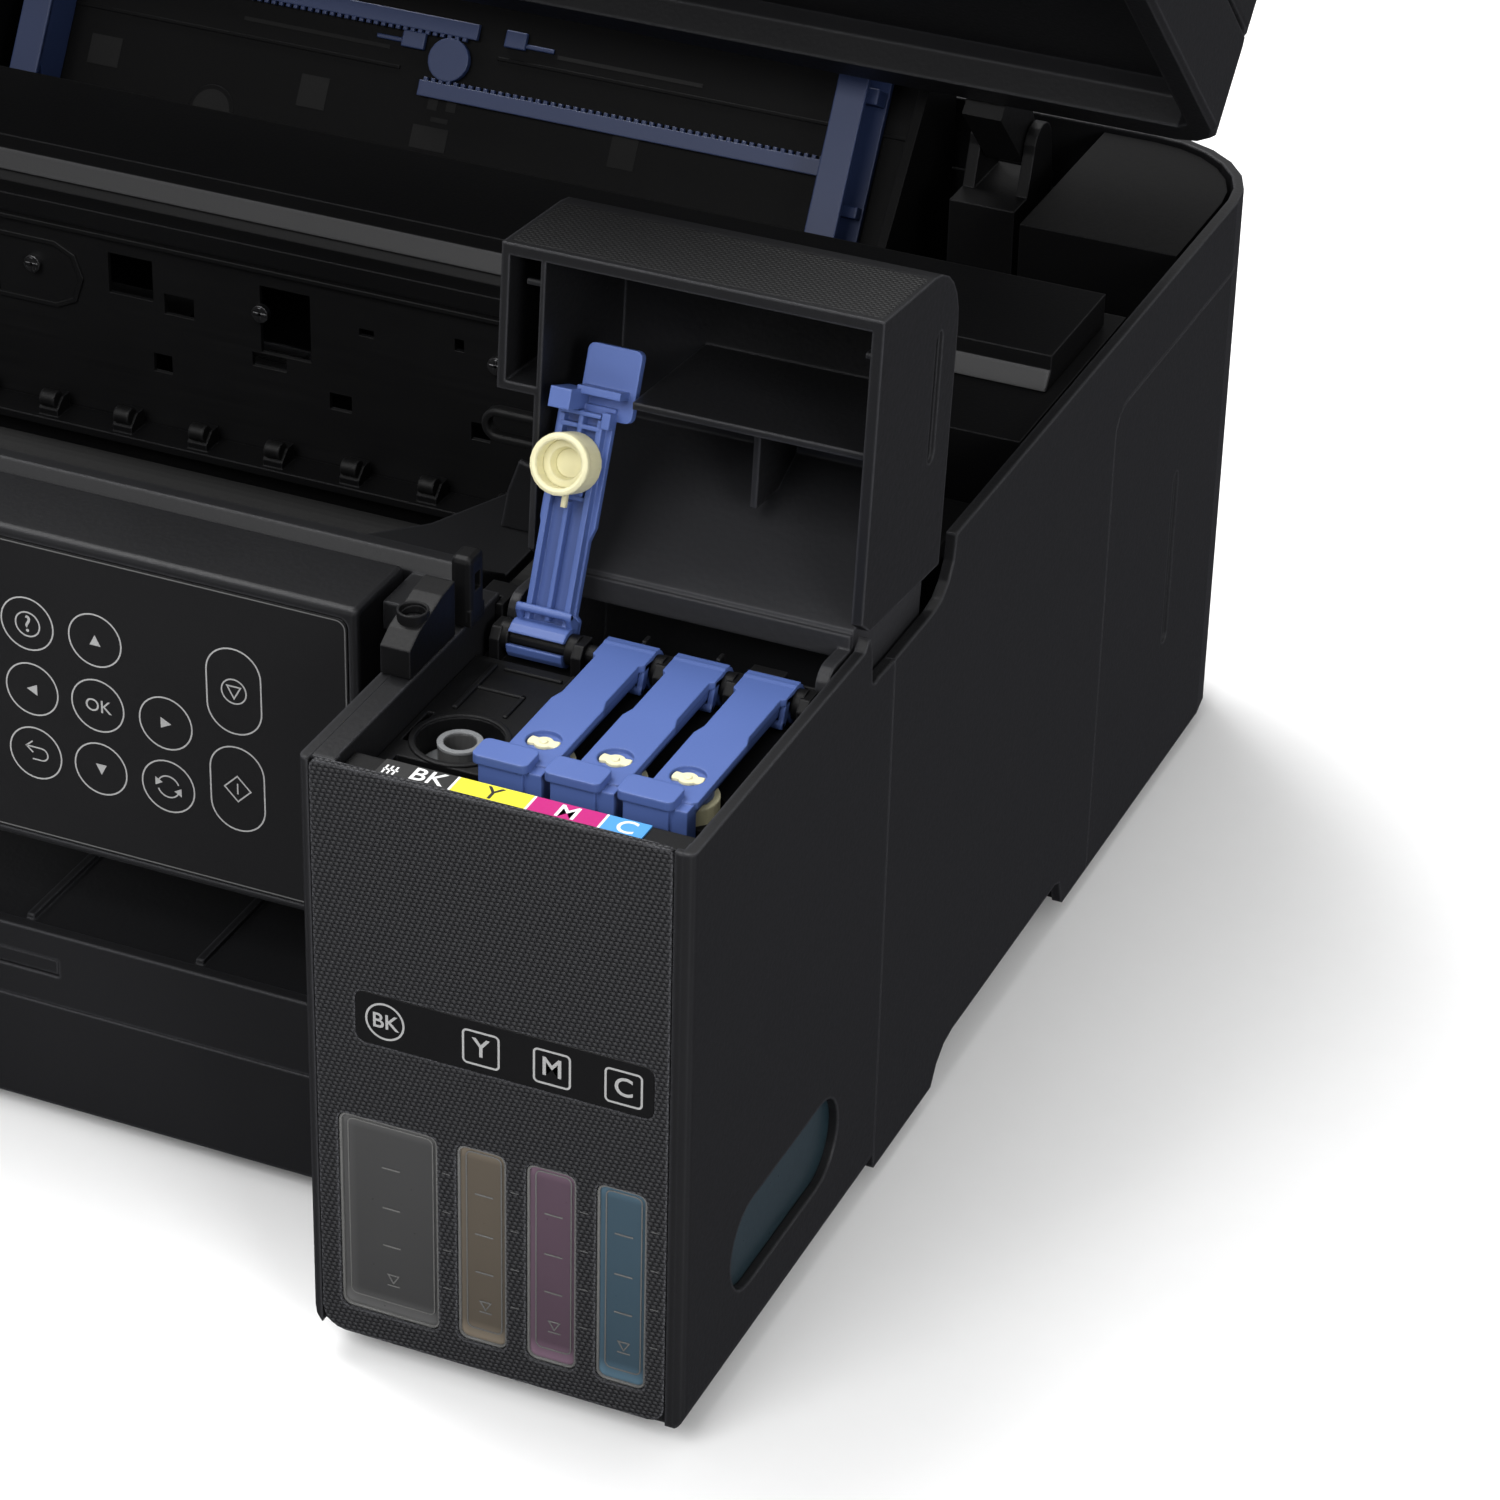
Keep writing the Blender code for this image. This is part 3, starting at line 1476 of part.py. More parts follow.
def sockets():
    inlet = box("power_inlet", (-141.0, -111.0), (HALF_D - 24.0, HALF_D - 0.8), (8.3, 43.0), DARK)
    cut(
        inlet,
        outline(
            "inlet_mouth",
            "Y",
            rounded((-135.0, -117.0), (24.0, 36.0), 3.0, 3),
            HALF_D - 16,
            HALF_D + 5,
            None,
            True,
        ),
    )
    below = box("inlet_step", (-150.0, -100.0), (HALF_D - 3.2, HALF_D + 5), (0, 18.8), None, True)
    cut(inlet, below)
    port = box("data_port", (-95.0, -79.0), (HALF_D - 20.0, HALF_D - 0.8), (8.3, 35.0), METAL)
    cut(
        port,
        box("port_mouth", (-91.0, -83.0), (HALF_D - 12, HALF_D + 5), (21.0, 31.0), None, True),
        box("port_step", (-100.0, -70.0), (HALF_D - 3.2, HALF_D + 5), (0, 18.8), None, True),
    )
    return inlet, port


# Scanner unit, modelled closed


def scanner_plan(inset):
    r = 12.0
    pts = [(-HALF_W + inset, SCAN_FRONT + inset), (SCAN_NOTCH_X - inset, SCAN_FRONT + inset)]
    pts += [(SCAN_NOTCH_X - inset, SCAN_NOTCH_Y + inset), (HALF_W - inset, SCAN_NOTCH_Y + inset)]
    for cx, cy, start in (
        (HALF_W - inset - r, SCAN_REAR - inset - r, 0),
        (-HALF_W + inset + r, SCAN_REAR - inset - r, 90),
    ):
        for i in range(4):
            a = math.radians(start + 30 * i)
            pts.append((cx + r * math.cos(a), cy + r * math.sin(a)))
    return pts


def scanner():
    housing = outline("scanner_housing", "Z", scanner_plan(0.0), SCAN_BOTTOM, SCAN_SPLIT, BLACK)
    soften(housing, 1.2, 1, 60)
    under = box(
        "scanner_under",
        (-HALF_W + 9, SCAN_NOTCH_X - 8),
        (SCAN_FRONT + 8, SCAN_REAR - 10),
        (SCAN_BOTTOM - 10, 157.0),
        None,
        True,
        bevel=3.0,
    )
    under_right = box(
        "scanner_under_right",
        (SCAN_NOTCH_X - 20, HALF_W - 7),
        (SCAN_NOTCH_Y + 8, SCAN_REAR - 10),
        (SCAN_BOTTOM - 10, 157.0),
        None,
        True,
        bevel=3.0,
    )
    half_l = GLASS_LENGTH / 2
    middle = -22.0
    glass_front = SCAN_FRONT + 12.0
    bed = box(
        "scanner_bed",
        (middle - half_l + 4, middle + half_l - 26),
        (glass_front + 4, glass_front + GLASS_WIDTH - 4),
        (159.0, SCAN_SPLIT + 5),
        None,
        True,
    )
    # The bed narrows nothing: the glass stops at the notch
    notch = box(
        "bed_keep",
        (SCAN_NOTCH_X - 9.0, HALF_W + 5),
        (SCAN_FRONT - 5, SCAN_REAR + 5),
        (158.0, SCAN_SPLIT + 6),
        None,
        True,
    )
    cut(bed, notch)
    rebate = box(
        "glass_rebate",
        (middle - half_l, SCAN_NOTCH_X - 5.0),
        (glass_front, glass_front + GLASS_WIDTH),
        (SCAN_SPLIT - 3.3, SCAN_SPLIT + 5),
        None,
        True,
    )
    cut(housing, under, under_right, bed, rebate)
    glass = box(
        "scanner_glass",
        (middle - half_l + GAP, SCAN_NOTCH_X - 5.0 - GAP),
        (glass_front + GAP, glass_front + GLASS_WIDTH - GAP),
        (SCAN_SPLIT - 3.0, SCAN_SPLIT - 0.2),
        GLASS,
    )
    head = box(
        "scan_head",
        (middle - half_l + 6, middle - half_l + 26),
        (glass_front + 6, glass_front + GLASS_WIDTH - 6),
        (159.0 + GAP, 167.4),
        DARK,
    )
    lid = outline("scanner_lid", "Z", scanner_plan(0.0), SCAN_SPLIT + 0.5, SCAN_TOP, BLACK)
    soften(lid, 1.6, 2, 60)
    lid_under = box(
        "lid_under",
        (middle - half_l, SCAN_NOTCH_X - 5.0),
        (glass_front, glass_front + GLASS_WIDTH),
        (SCAN_SPLIT - 5, SCAN_SPLIT + 6.0),
        None,
        True,
    )
    cut(lid, lid_under)
    pad = box(
        "lid_pad",
        (middle - half_l + 2, SCAN_NOTCH_X - 7.0),
        (glass_front + 2, glass_front + GLASS_WIDTH - 2),
        (SCAN_SPLIT + 0.3, SCAN_SPLIT + 6.0 - GAP),
        WHITE,
    )
    arms = []
    for name, x in (("scanner_arm_right", 127.0), ("scanner_arm_left", -163.0)):
        arm = outline(
            name,
            "X",
            [(SCAN_REAR + GAP, 143.5), (SCAN_HINGE_Y, 142.8)]
            + arc(SCAN_HINGE_Y, SCAN_HINGE_Z, 5.2, -90, 90, 6)
            + [(SCAN_REAR + GAP, 160.0)],
            x - 5.0,
            x + 5.0,
            METAL,
        )
        cut(
            arm,
            cylinder(name + "_bore", "X", (x, SCAN_HINGE_Y, SCAN_HINGE_Z), 2.5 + GAP, 40, None, True, sides=16),
        )
        arms.append(arm)
    lid_axis = pivot("lid_axis", SCAN_REAR, SCAN_SPLIT + 1.0)
    hang(lid_axis, lid, pad)
    head_axis = pivot("scan_head_slide", glass_front + 6, 163.0, middle - half_l + 16)
    hang(head_axis, head)
    axis = pivot("scanner_axis", SCAN_HINGE_Y, SCAN_HINGE_Z)
    hang(axis, housing, glass, *arms, lid_axis, head_axis)
    axis.rotation_euler.x = -math.radians(SCAN_OPEN)


def hinge_brackets():
    made = []
    for name, x in (("hinge_bracket_right", 127.0), ("hinge_bracket_left", -163.0)):
        bracket = box(name, (x - 8.4, x + 8.4), (132.0, 158.0), (BOTTOM_Z + 3.0 + GAP, 138.0), DARK)
        ears = [
            outline(
                name + "_ear_%d" % i,
                "X",
                [(140.0, 136.0)] + arc(SCAN_HINGE_Y, SCAN_HINGE_Z, 6.0, 180, 0, 8) + [(158.0, 136.0)],
                x + a,
                x + b,
                None,
                True,
            )
            for i, (a, b) in enumerate(((-8.4, -5.5), (5.5, 8.4)))
        ]
        pin = cylinder(name + "_pin", "X", (x, SCAN_HINGE_Y, SCAN_HINGE_Z), 2.5, 14.0, None, True, sides=16)
        made.append(add(bracket, *ears, pin))
    return made


body_shell()
rear_cover()
base()
feet()
tank_case()
tank_skin()
INK_LIMITS = {
    "bk": (TANK_LEFT + TRIM_LEFT + GAP, 134.4),
    "y": (134.8, 149.7),
    "m": (150.1, 165.2),
    "c": (165.6, HALF_W - WALL - GAP),
}
for INK_NAME, (INK_LOW, INK_HIGH) in INK_LIMITS.items():
    ink_tank(INK_NAME, INK_LOW, INK_HIGH)
tank_deck()
lever_rod()
for INK_NAME in INK_X:
    swing_lever(INK_NAME, LEVER_OPEN if INK_NAME == "bk" else 0.0)
post()
hinge_block()
COVER_AXIS = pivot("cover_axis", COVER_HINGE_Y, COVER_HINGE_Z, HALF_W)
hang(COVER_AXIS, tank_cover())
COVER_AXIS.rotation_euler.x = -math.radians(COVER_OPEN)
left_hinge_boss()
control_panel()
front_frame()
output_tray()
housings()
cross_bar()
chassis()
paper_path()
carriage()
feeder()
edge_guides()
rear_box()
sockets()
scanner()
hinge_brackets()
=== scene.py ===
import math

import bmesh
import bpy
from mathutils import Matrix, Vector


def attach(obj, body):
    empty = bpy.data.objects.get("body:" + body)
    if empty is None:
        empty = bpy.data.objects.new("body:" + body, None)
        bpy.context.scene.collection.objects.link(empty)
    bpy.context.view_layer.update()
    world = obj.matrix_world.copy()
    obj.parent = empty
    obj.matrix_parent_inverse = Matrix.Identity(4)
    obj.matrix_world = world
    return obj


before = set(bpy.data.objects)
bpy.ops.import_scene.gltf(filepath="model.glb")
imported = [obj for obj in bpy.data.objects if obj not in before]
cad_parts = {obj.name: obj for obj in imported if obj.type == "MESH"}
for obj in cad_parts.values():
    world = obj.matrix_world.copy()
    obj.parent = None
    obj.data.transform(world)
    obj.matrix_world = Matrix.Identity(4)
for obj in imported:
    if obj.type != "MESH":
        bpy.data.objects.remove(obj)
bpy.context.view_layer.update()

bl_info = {
    "name": "Ink tank printer",
    "version": (1, 0, 0),
    "blender": (4, 5, 0),
    "location": "3D View > Sidebar > Printer",
    "description": "Finishes the packed ink tank printer and adds its small pieces",
    "category": "Add Mesh",
}

MM = 0.001

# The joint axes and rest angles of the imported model, in millimetres and degrees
COVER_HINGE = (-96.4, 140.0, 95.0)
LEVER_HINGE = (-104.0, 138.0, 113.0)
SCANNER_HINGE = (150.0, 148.0, 44.0)
FEEDER_TILT = math.radians(60.0)
FEEDER_BASE = (137.0, 118.0)
PORTS = {"bk": (122.4, -141.5), "y": (142.2, -144.5), "m": (157.7, -144.5), "c": (173.2, -144.5)}
LEVER_BODY = {"bk": "black_lever", "y": "yellow_lever", "m": "magenta_lever", "c": "cyan_lever"}
WINDOWS = {
    "bk": (109.95, 132.45),
    "y": (136.6, 147.8),
    "m": (152.1, 163.3),
    "c": (167.6, 178.8),
}
PANEL_FACE = -122.0
TANK_FACE = -173.5
WINDOW_Z = (13.4, 61.6)
SCALE_X = (134.4, 149.7, 165.1, 180.6)
DECK_TOP = 135.0
LABEL_X = {"Y": 142.4, "M": 157.9, "C": 173.4}
LABEL_Z = 86.6
LETTER_DEPTH = 0.06
STRIP_Y = (-168.6, -163.4)
STRIP_Z = (141.2, 141.6)
STRIP_COLOURS = ((117.4, 133.0), (133.5, 149.4), (149.9, 164.8), (165.3, 174.2))
KEY_RADIUS = 6.25
HELP_KEY = (11.2, 124.0)
UP_KEY = (27.5, 124.0)
LEFT_KEY = (11.5, 108.1)
OK_KEY = (27.4, 108.1)
RIGHT_KEY = (43.7, 108.0)
BACK_KEY = (11.5, 92.3)
DOWN_KEY = (27.4, 92.5)
TURN_KEY = (43.7, 92.5)
STOP_KEY = (60.3, 120.0)
START_KEY = (60.4, 96.3)
HOME_KEY = (-132.0, 98.0)
ROUND_KEYS = (HELP_KEY, UP_KEY, LEFT_KEY, OK_KEY, RIGHT_KEY, BACK_KEY, DOWN_KEY, TURN_KEY, HOME_KEY)
UP_ARROW = (27.5, 124.0)
DOWN_ARROW = (27.5, 92.4)
POWER_KEY = (-132.0, 120.0)
PINION_X = -24.5
BLOCK_SCREW = (106.6, -130.5)

# The studio: metres, degrees and watts
CAMERA_PLACE = (0.5010, -0.8960, 0.6455)
CAMERA_TURN, CAMERA_DROP, CAMERA_ROLL = 22.74, 31.24, 1.52
CAMERA_LENS = 119.1
SKY = ((0.0, (0.16, 0.16, 0.18, 1.0)), (0.55, (1.0, 1.0, 1.0, 1.0)))
LIGHTS = {
    "key_light": {"place": (-0.75, 0.45, 1.7), "aim": (0.05, -0.05, 0.1), "size": 1.1, "power": 47.0},
    "front_light": {"place": (-0.2, -1.6, 1.7), "aim": (0.05, 0.0, 0.1), "size": 1.2, "power": 28.0},
    "side_light": {"place": (1.5, -1.2, 0.8), "aim": (0.19, -0.12, 0.08), "size": 0.6, "power": 13.0},
}


# Settings


def colour_setting(name, description, default):
    return bpy.props.FloatVectorProperty(
        name=name, description=description, subtype="COLOR", size=3, min=0.0, max=1.0, default=default
    )


def length_setting(name, description, default, low, high):
    return bpy.props.FloatProperty(
        name=name, description=description, default=default, min=low, max=high, unit="LENGTH"
    )


class PrinterColours(bpy.types.PropertyGroup):
    """Colours that a user would change"""

    casing: colour_setting("Casing", "Colour of the outer casing", (0.0088, 0.0089, 0.0098))
    inner: colour_setting("Inner parts", "Colour of the inner mouldings", (0.0034, 0.0034, 0.0037))
    lever: colour_setting(
        "Levers and guides", "Colour of the parts that a hand works", (0.068, 0.113, 0.31)
    )
    cap: colour_setting("Caps", "Colour of the rubber caps on the levers", (0.70, 0.66, 0.42))
    print_line: colour_setting("Printing", "Colour of the printed key signs", (0.29, 0.29, 0.29))


class PrinterSizes(bpy.types.PropertyGroup):
    """Sizes that a user would change"""

    grain: length_setting(
        "Casing grain", "Size of one grain of the moulded casing texture", 0.0009, 0.0002, 0.005
    )
    weave: length_setting(
        "Weave pitch", "Distance between the woven front's ribs", 0.00135, 0.0004, 0.006
    )
    edge: length_setting("Edge softness", "Radius of the light-catching edges", 0.0011, 0.0, 0.003)
    line: length_setting(
        "Printed line", "Width of the printed outlines round the keys", 0.00034, 0.0001, 0.002
    )
    tooth: length_setting(
        "Rack tooth pitch", "Distance between the teeth of the guide racks", 0.0021, 0.0008, 0.006
    )
    shine: bpy.props.FloatProperty(
        name="Casing roughness",
        description="How dull the casing is",
        default=0.44,
        min=0.1,
        max=1.0,
        subtype="FACTOR",
    )


def colours():
    return bpy.context.scene.printer_colours


def sizes():
    return bpy.context.scene.printer_sizes


# Shader maths


class Value:
    """A shader socket that can be used in a Python expression."""

    def __init__(self, tree, socket):
        self.tree = tree
        self.socket = socket

    def _maths(self, operation, *values):
        made = self.tree.nodes.new("ShaderNodeMath")
        made.operation = operation
        for index, value in enumerate(values):
            if isinstance(value, Value):
                self.tree.links.new(value.socket, made.inputs[index])
            else:
                made.inputs[index].default_value = value
        return Value(self.tree, made.outputs[0])

    def __add__(self, other):
        return self._maths("ADD", self, other)

    __radd__ = __add__

    def __mul__(self, other):
        return self._maths("MULTIPLY", self, other)

    __rmul__ = __mul__

    def __sub__(self, other):
        return self._maths("SUBTRACT", self, other)

    def __rsub__(self, other):
        return self._maths("SUBTRACT", other, self)

    def __truediv__(self, other):
        return self._maths("DIVIDE", self, other)

    def __pow__(self, other):
        return self._maths("POWER", self, other)

    def __lt__(self, other):
        return self._maths("LESS_THAN", self, other)

    def __abs__(self):
        return self._maths("ABSOLUTE", self)

    def part(self):
        return self._maths("FRACT", self)

    def floor(self):
        return self._maths("FLOOR", self)

    def modulo(self, other):
        return self._maths("FLOORED_MODULO", self, other)

    def least(self, other):
        return self._maths("MINIMUM", self, other)

    def most(self, other):
        return self._maths("MAXIMUM", self, other)

    def held(self):
        """The value kept between nought and one."""
        return self.least(1.0).most(0.0)


class Shading:
    """A shader tree under construction."""

    def __init__(self, tree):
        self.tree = tree

    def node(self, kind, settings=None, sockets=None, output=0):
        """Adds a node: its settings first, then the values or links of its sockets."""
        made = self.tree.nodes.new(kind)
        for key, value in (settings or {}).items():
            if key == "stops":
                while len(made.color_ramp.elements) < len(value):
                    made.color_ramp.elements.new(0.5)
                for element, (place, colour) in zip(made.color_ramp.elements, value):
                    element.position = place
                    element.color = colour
            else:
                setattr(made, key, value)
        for key, value in (sockets or {}).items():
            if isinstance(value, Value):
                self.tree.links.new(value.socket, made.inputs[key])
            else:
                made.inputs[key].default_value = value
        return Value(self.tree, made.outputs[output])


class Finish(Shading):
    """A material under construction."""

    def __init__(self, name):
        self.material = bpy.data.materials.new(name)
        self.material.use_nodes = True
        super().__init__(self.material.node_tree)
        self.shader = self.tree.nodes["Principled BSDF"]

    def place(self):
        """The point on the piece, in metres, as a vector."""
        return self.node("ShaderNodeTexCoord", output="Object")

    def axes(self):
        """The point's X, Y and Z as three values."""
        split = self.node("ShaderNodeSeparateXYZ", None, {"Vector": self.place()})
        return [Value(self.tree, split.socket.node.outputs[i]) for i in range(3)]

    def noise(self, size, detail=2.0, rough=0.5, stretch=None):
        where = self.place()
        if stretch:
            where = self.node("ShaderNodeMapping", None, {"Vector": where, "Scale": stretch})
        return self.node(
            "ShaderNodeTexNoise",
            {"noise_dimensions": "3D"},
            {"Vector": where, "Scale": 1.0 / size, "Detail": detail, "Roughness": rough},
        )

    def cells(self, size):
        return self.node(
            "ShaderNodeTexVoronoi",
            {"voronoi_dimensions": "3D", "feature": "F1"},
            {"Vector": self.place(), "Scale": 1.0 / size},
            "Distance",
        )

    def mix(self, amount, first, second):
        """Colours mixed by a value."""
        first, second = (c if isinstance(c, Value) else (*c[:3], 1.0) for c in (first, second))
        return self.node("ShaderNodeMix", {"data_type": "RGBA"}, {0: amount, 6: first, 7: second}, 2)

    def soft_edge(self, radius):
        return self.node("ShaderNodeBevel", {"samples": 4}, {"Radius": radius})

    def bump(self, height, depth, strength=1.0, normal=None):
        sockets = {"Height": height, "Distance": depth, "Strength": strength}
        if normal:
            sockets["Normal"] = normal
        return self.node("ShaderNodeBump", None, sockets)

    def edge_highlight_mask(self, rounded):
        """One along an edge, nought elsewhere: the mask of the painted edge highlight."""
        flat = self.node("ShaderNodeNewGeometry", output="Normal")
        dot = self.node(
            "ShaderNodeVectorMath", {"operation": "DOT_PRODUCT"}, {0: rounded, 1: flat}, "Value"
        )
        return ((1.0 - dot) * 5.0).held()

    def set(self, **sockets):
        for key, value in sockets.items():
            socket = self.shader.inputs[key.replace("_", " ")]
            if isinstance(value, Value):
                self.tree.links.new(value.socket, socket)
            elif isinstance(value, tuple):
                socket.default_value = (*value[:3], 1.0)
            else:
                socket.default_value = value
        return self.material


def shade(colour, amount):
    return tuple(min(1.0, c * amount) for c in colour)


def moulded(name, colour, rough, grain, depth=0.00005, edge=None, shine=0.22, highlight_gain=6.0, lit_skirt_gain=0.0):
    """Injection-moulded plastic: fine grain, uneven dullness, painted highlights along the edges and, where
    asked, painted light on the tank cover's lower part.
    """
    finish = Finish(name)
    rounded = finish.soft_edge(sizes().edge if edge is None else edge)
    fine = finish.noise(grain, 3.0, 0.55)
    pits = finish.cells(grain * 1.4)
    cloudy = finish.noise(0.045, 2.0)
    height = fine * 0.65 + pits * 0.55
    edge_highlight = finish.edge_highlight_mask(rounded)
    base = finish.mix(cloudy, shade(colour, 0.86), shade(colour, 1.16))
    # Painted light: the cover's lower part, away from its right side, made lighter where the front light
    # falls on it
    if lit_skirt_gain:
        x, y, z = finish.axes()
        inside = (x < 0.1852) * ((0.186 - z) / 0.03).held()
        base = finish.mix(inside, base, shade(colour, lit_skirt_gain))
    # Painted highlight: the edges made several times lighter, where light catches them
    base = finish.mix(edge_highlight * 0.8, base, shade(colour, highlight_gain))
    return finish.set(
        Base_Color=base,
        Roughness=(fine * 0.12 + cloudy * 0.08 + (rough - 0.1)) - edge_highlight * 0.08,
        Normal=finish.bump(height, depth, 0.8, rounded),
        Specular_IOR_Level=shine,
    )


def woven(name, colour, rough, contrast, depth):
    """Short staggered ribs like a coarse twill, on the faces turned to the front or up."""
    finish = Finish(name)
    rounded = finish.soft_edge(sizes().edge)
    x, y, z = finish.axes()
    pitch = sizes().weave
    across = (x + (z + y) * 0.28) / pitch
    up = ((z + y) - x * 0.12) / (pitch * 0.72)
    row = up.floor()
    shifted = across + row.modulo(2.0) * 0.5
    dash = 1.0 - (abs(shifted.part() - 0.5) * 2.0) ** 2.0
    line = 1.0 - (abs(up.part() - 0.5) * 2.0) ** 2.0
    weave = dash * line
    wobble = finish.noise(0.0006, 2.0)
    cloudy = finish.noise(0.03, 2.0)
    base = finish.mix(weave, shade(colour, 1.0 / contrast), shade(colour, contrast))
    base = finish.mix(cloudy * 0.2, base, shade(colour, 1.3))
    # Painted highlight along the edges
    base = finish.mix(finish.edge_highlight_mask(rounded) * 0.8, base, shade(colour, 7.0))
    return finish.set(
        Base_Color=base,
        Roughness=0.12 * wobble + (rough - 0.06),
        Normal=finish.bump(weave * 0.95 + wobble * 0.06, depth, 1.0, rounded),
        Specular_IOR_Level=0.3,
    )


def rubber(name, colour, rough):
    finish = Finish(name)
    rounded = finish.soft_edge(0.0006)
    fine = finish.noise(0.0007, 3.0)
    dust = finish.noise(0.004, 4.0)
    base = finish.mix(dust, shade(colour, 0.9), shade(colour, 1.08))
    return finish.set(
        Base_Color=base,
        Roughness=fine * 0.15 + (rough - 0.08),
        Normal=finish.bump(fine, 0.00005, 0.6, rounded),
        Subsurface_Weight=0.0,
    )


def sheet_metal(name, colour, rough, metallic):
    finish = Finish(name)
    rounded = finish.soft_edge(0.0003)
    brushed = finish.noise(0.0012, 3.0, 0.6, (0.04, 1.0, 1.0))
    cloudy = finish.noise(0.02, 3.0)
    base = finish.mix(cloudy, shade(colour, 0.75), shade(colour, 1.25))
    return finish.set(
        Base_Color=base,
        Metallic=metallic,
        Roughness=brushed * 0.2 + (rough - 0.1),
        Normal=finish.bump(brushed, 0.00002, 0.5, rounded),
        Specular_IOR_Level=0.25,
    )


def tinted_tank(name, colour, rough=0.3, window=None):
    """Translucent tank wall with ink behind it, cloudier towards the top."""
    finish = Finish(name)
    rounded = finish.soft_edge(0.0009)
    x, y, z = finish.axes()
    cloudy = finish.noise(0.012, 3.0)
    level = ((z - 0.012) / 0.05).held()
    base = finish.mix(level, shade(colour, 0.86), shade(colour, 1.18))
    base = finish.mix(cloudy * 0.3, base, shade(colour, 1.3))
    if window:
        low, high = (side * MM for side in window)
        width = 0.14 * (high - low) + 0.0006
        left = (1.0 - (x - low) / width).held()
        foot = (1.0 - (z - 0.0145) / 0.0035).held()
        head = ((z - 0.0585) / 0.0025).held()
        lit = (left * 0.5 + foot * 0.75 + head * 0.6).least(1.0)
        base = finish.mix(lit, base, shade(colour, 2.6))
    fine = finish.noise(0.0011, 2.0)
    return finish.set(
        Base_Color=base,
        Roughness=fine * 0.1 + (rough - 0.05),
        Normal=finish.bump(fine, 0.00002, 0.5, rounded),
        Coat_Weight=0.1,
        Coat_Roughness=0.2,
        Specular_IOR_Level=0.3,
    )


def ink_print(name, colour, rough=0.45):
    """Screen printing: almost flat, with a little unevenness in the ink. Also the flat painted shade in the
    feeder's holes.
    """
    finish = Finish(name)
    uneven = finish.noise(0.0006, 3.0)
    base = finish.mix(uneven, shade(colour, 0.92), shade(colour, 1.06))
    return finish.set(Base_Color=base, Roughness=uneven * 0.1 + (rough - 0.05))


def glossy_film(name, colour, rough, shine=0.25):
    finish = Finish(name)
    rounded = finish.soft_edge(0.0004)
    fine = finish.noise(0.0005, 2.0)
    cloudy = finish.noise(0.03, 2.0)
    base = finish.mix(cloudy, shade(colour, 0.93), shade(colour, 1.07))
    return finish.set(
        Base_Color=base,
        Roughness=fine * 0.08 + cloudy * 0.05 + (rough - 0.06),
        Normal=finish.bump(fine, 0.00004, 0.8, rounded),
        Specular_IOR_Level=shine,
    )


def clear_plastic(name, colour, alpha, rough=0.12):
    finish = Finish(name)
    rounded = finish.soft_edge(0.0004)
    haze = finish.noise(0.003, 3.0)
    base = finish.mix(haze, shade(colour, 0.92), shade(colour, 1.05))
    return finish.set(
        Base_Color=base,
        Alpha=haze * 0.1 + (alpha - 0.05),
        Roughness=haze * 0.08 + (rough - 0.04),
        Normal=rounded,
        Specular_IOR_Level=0.6,
    )


FINISHES = {}


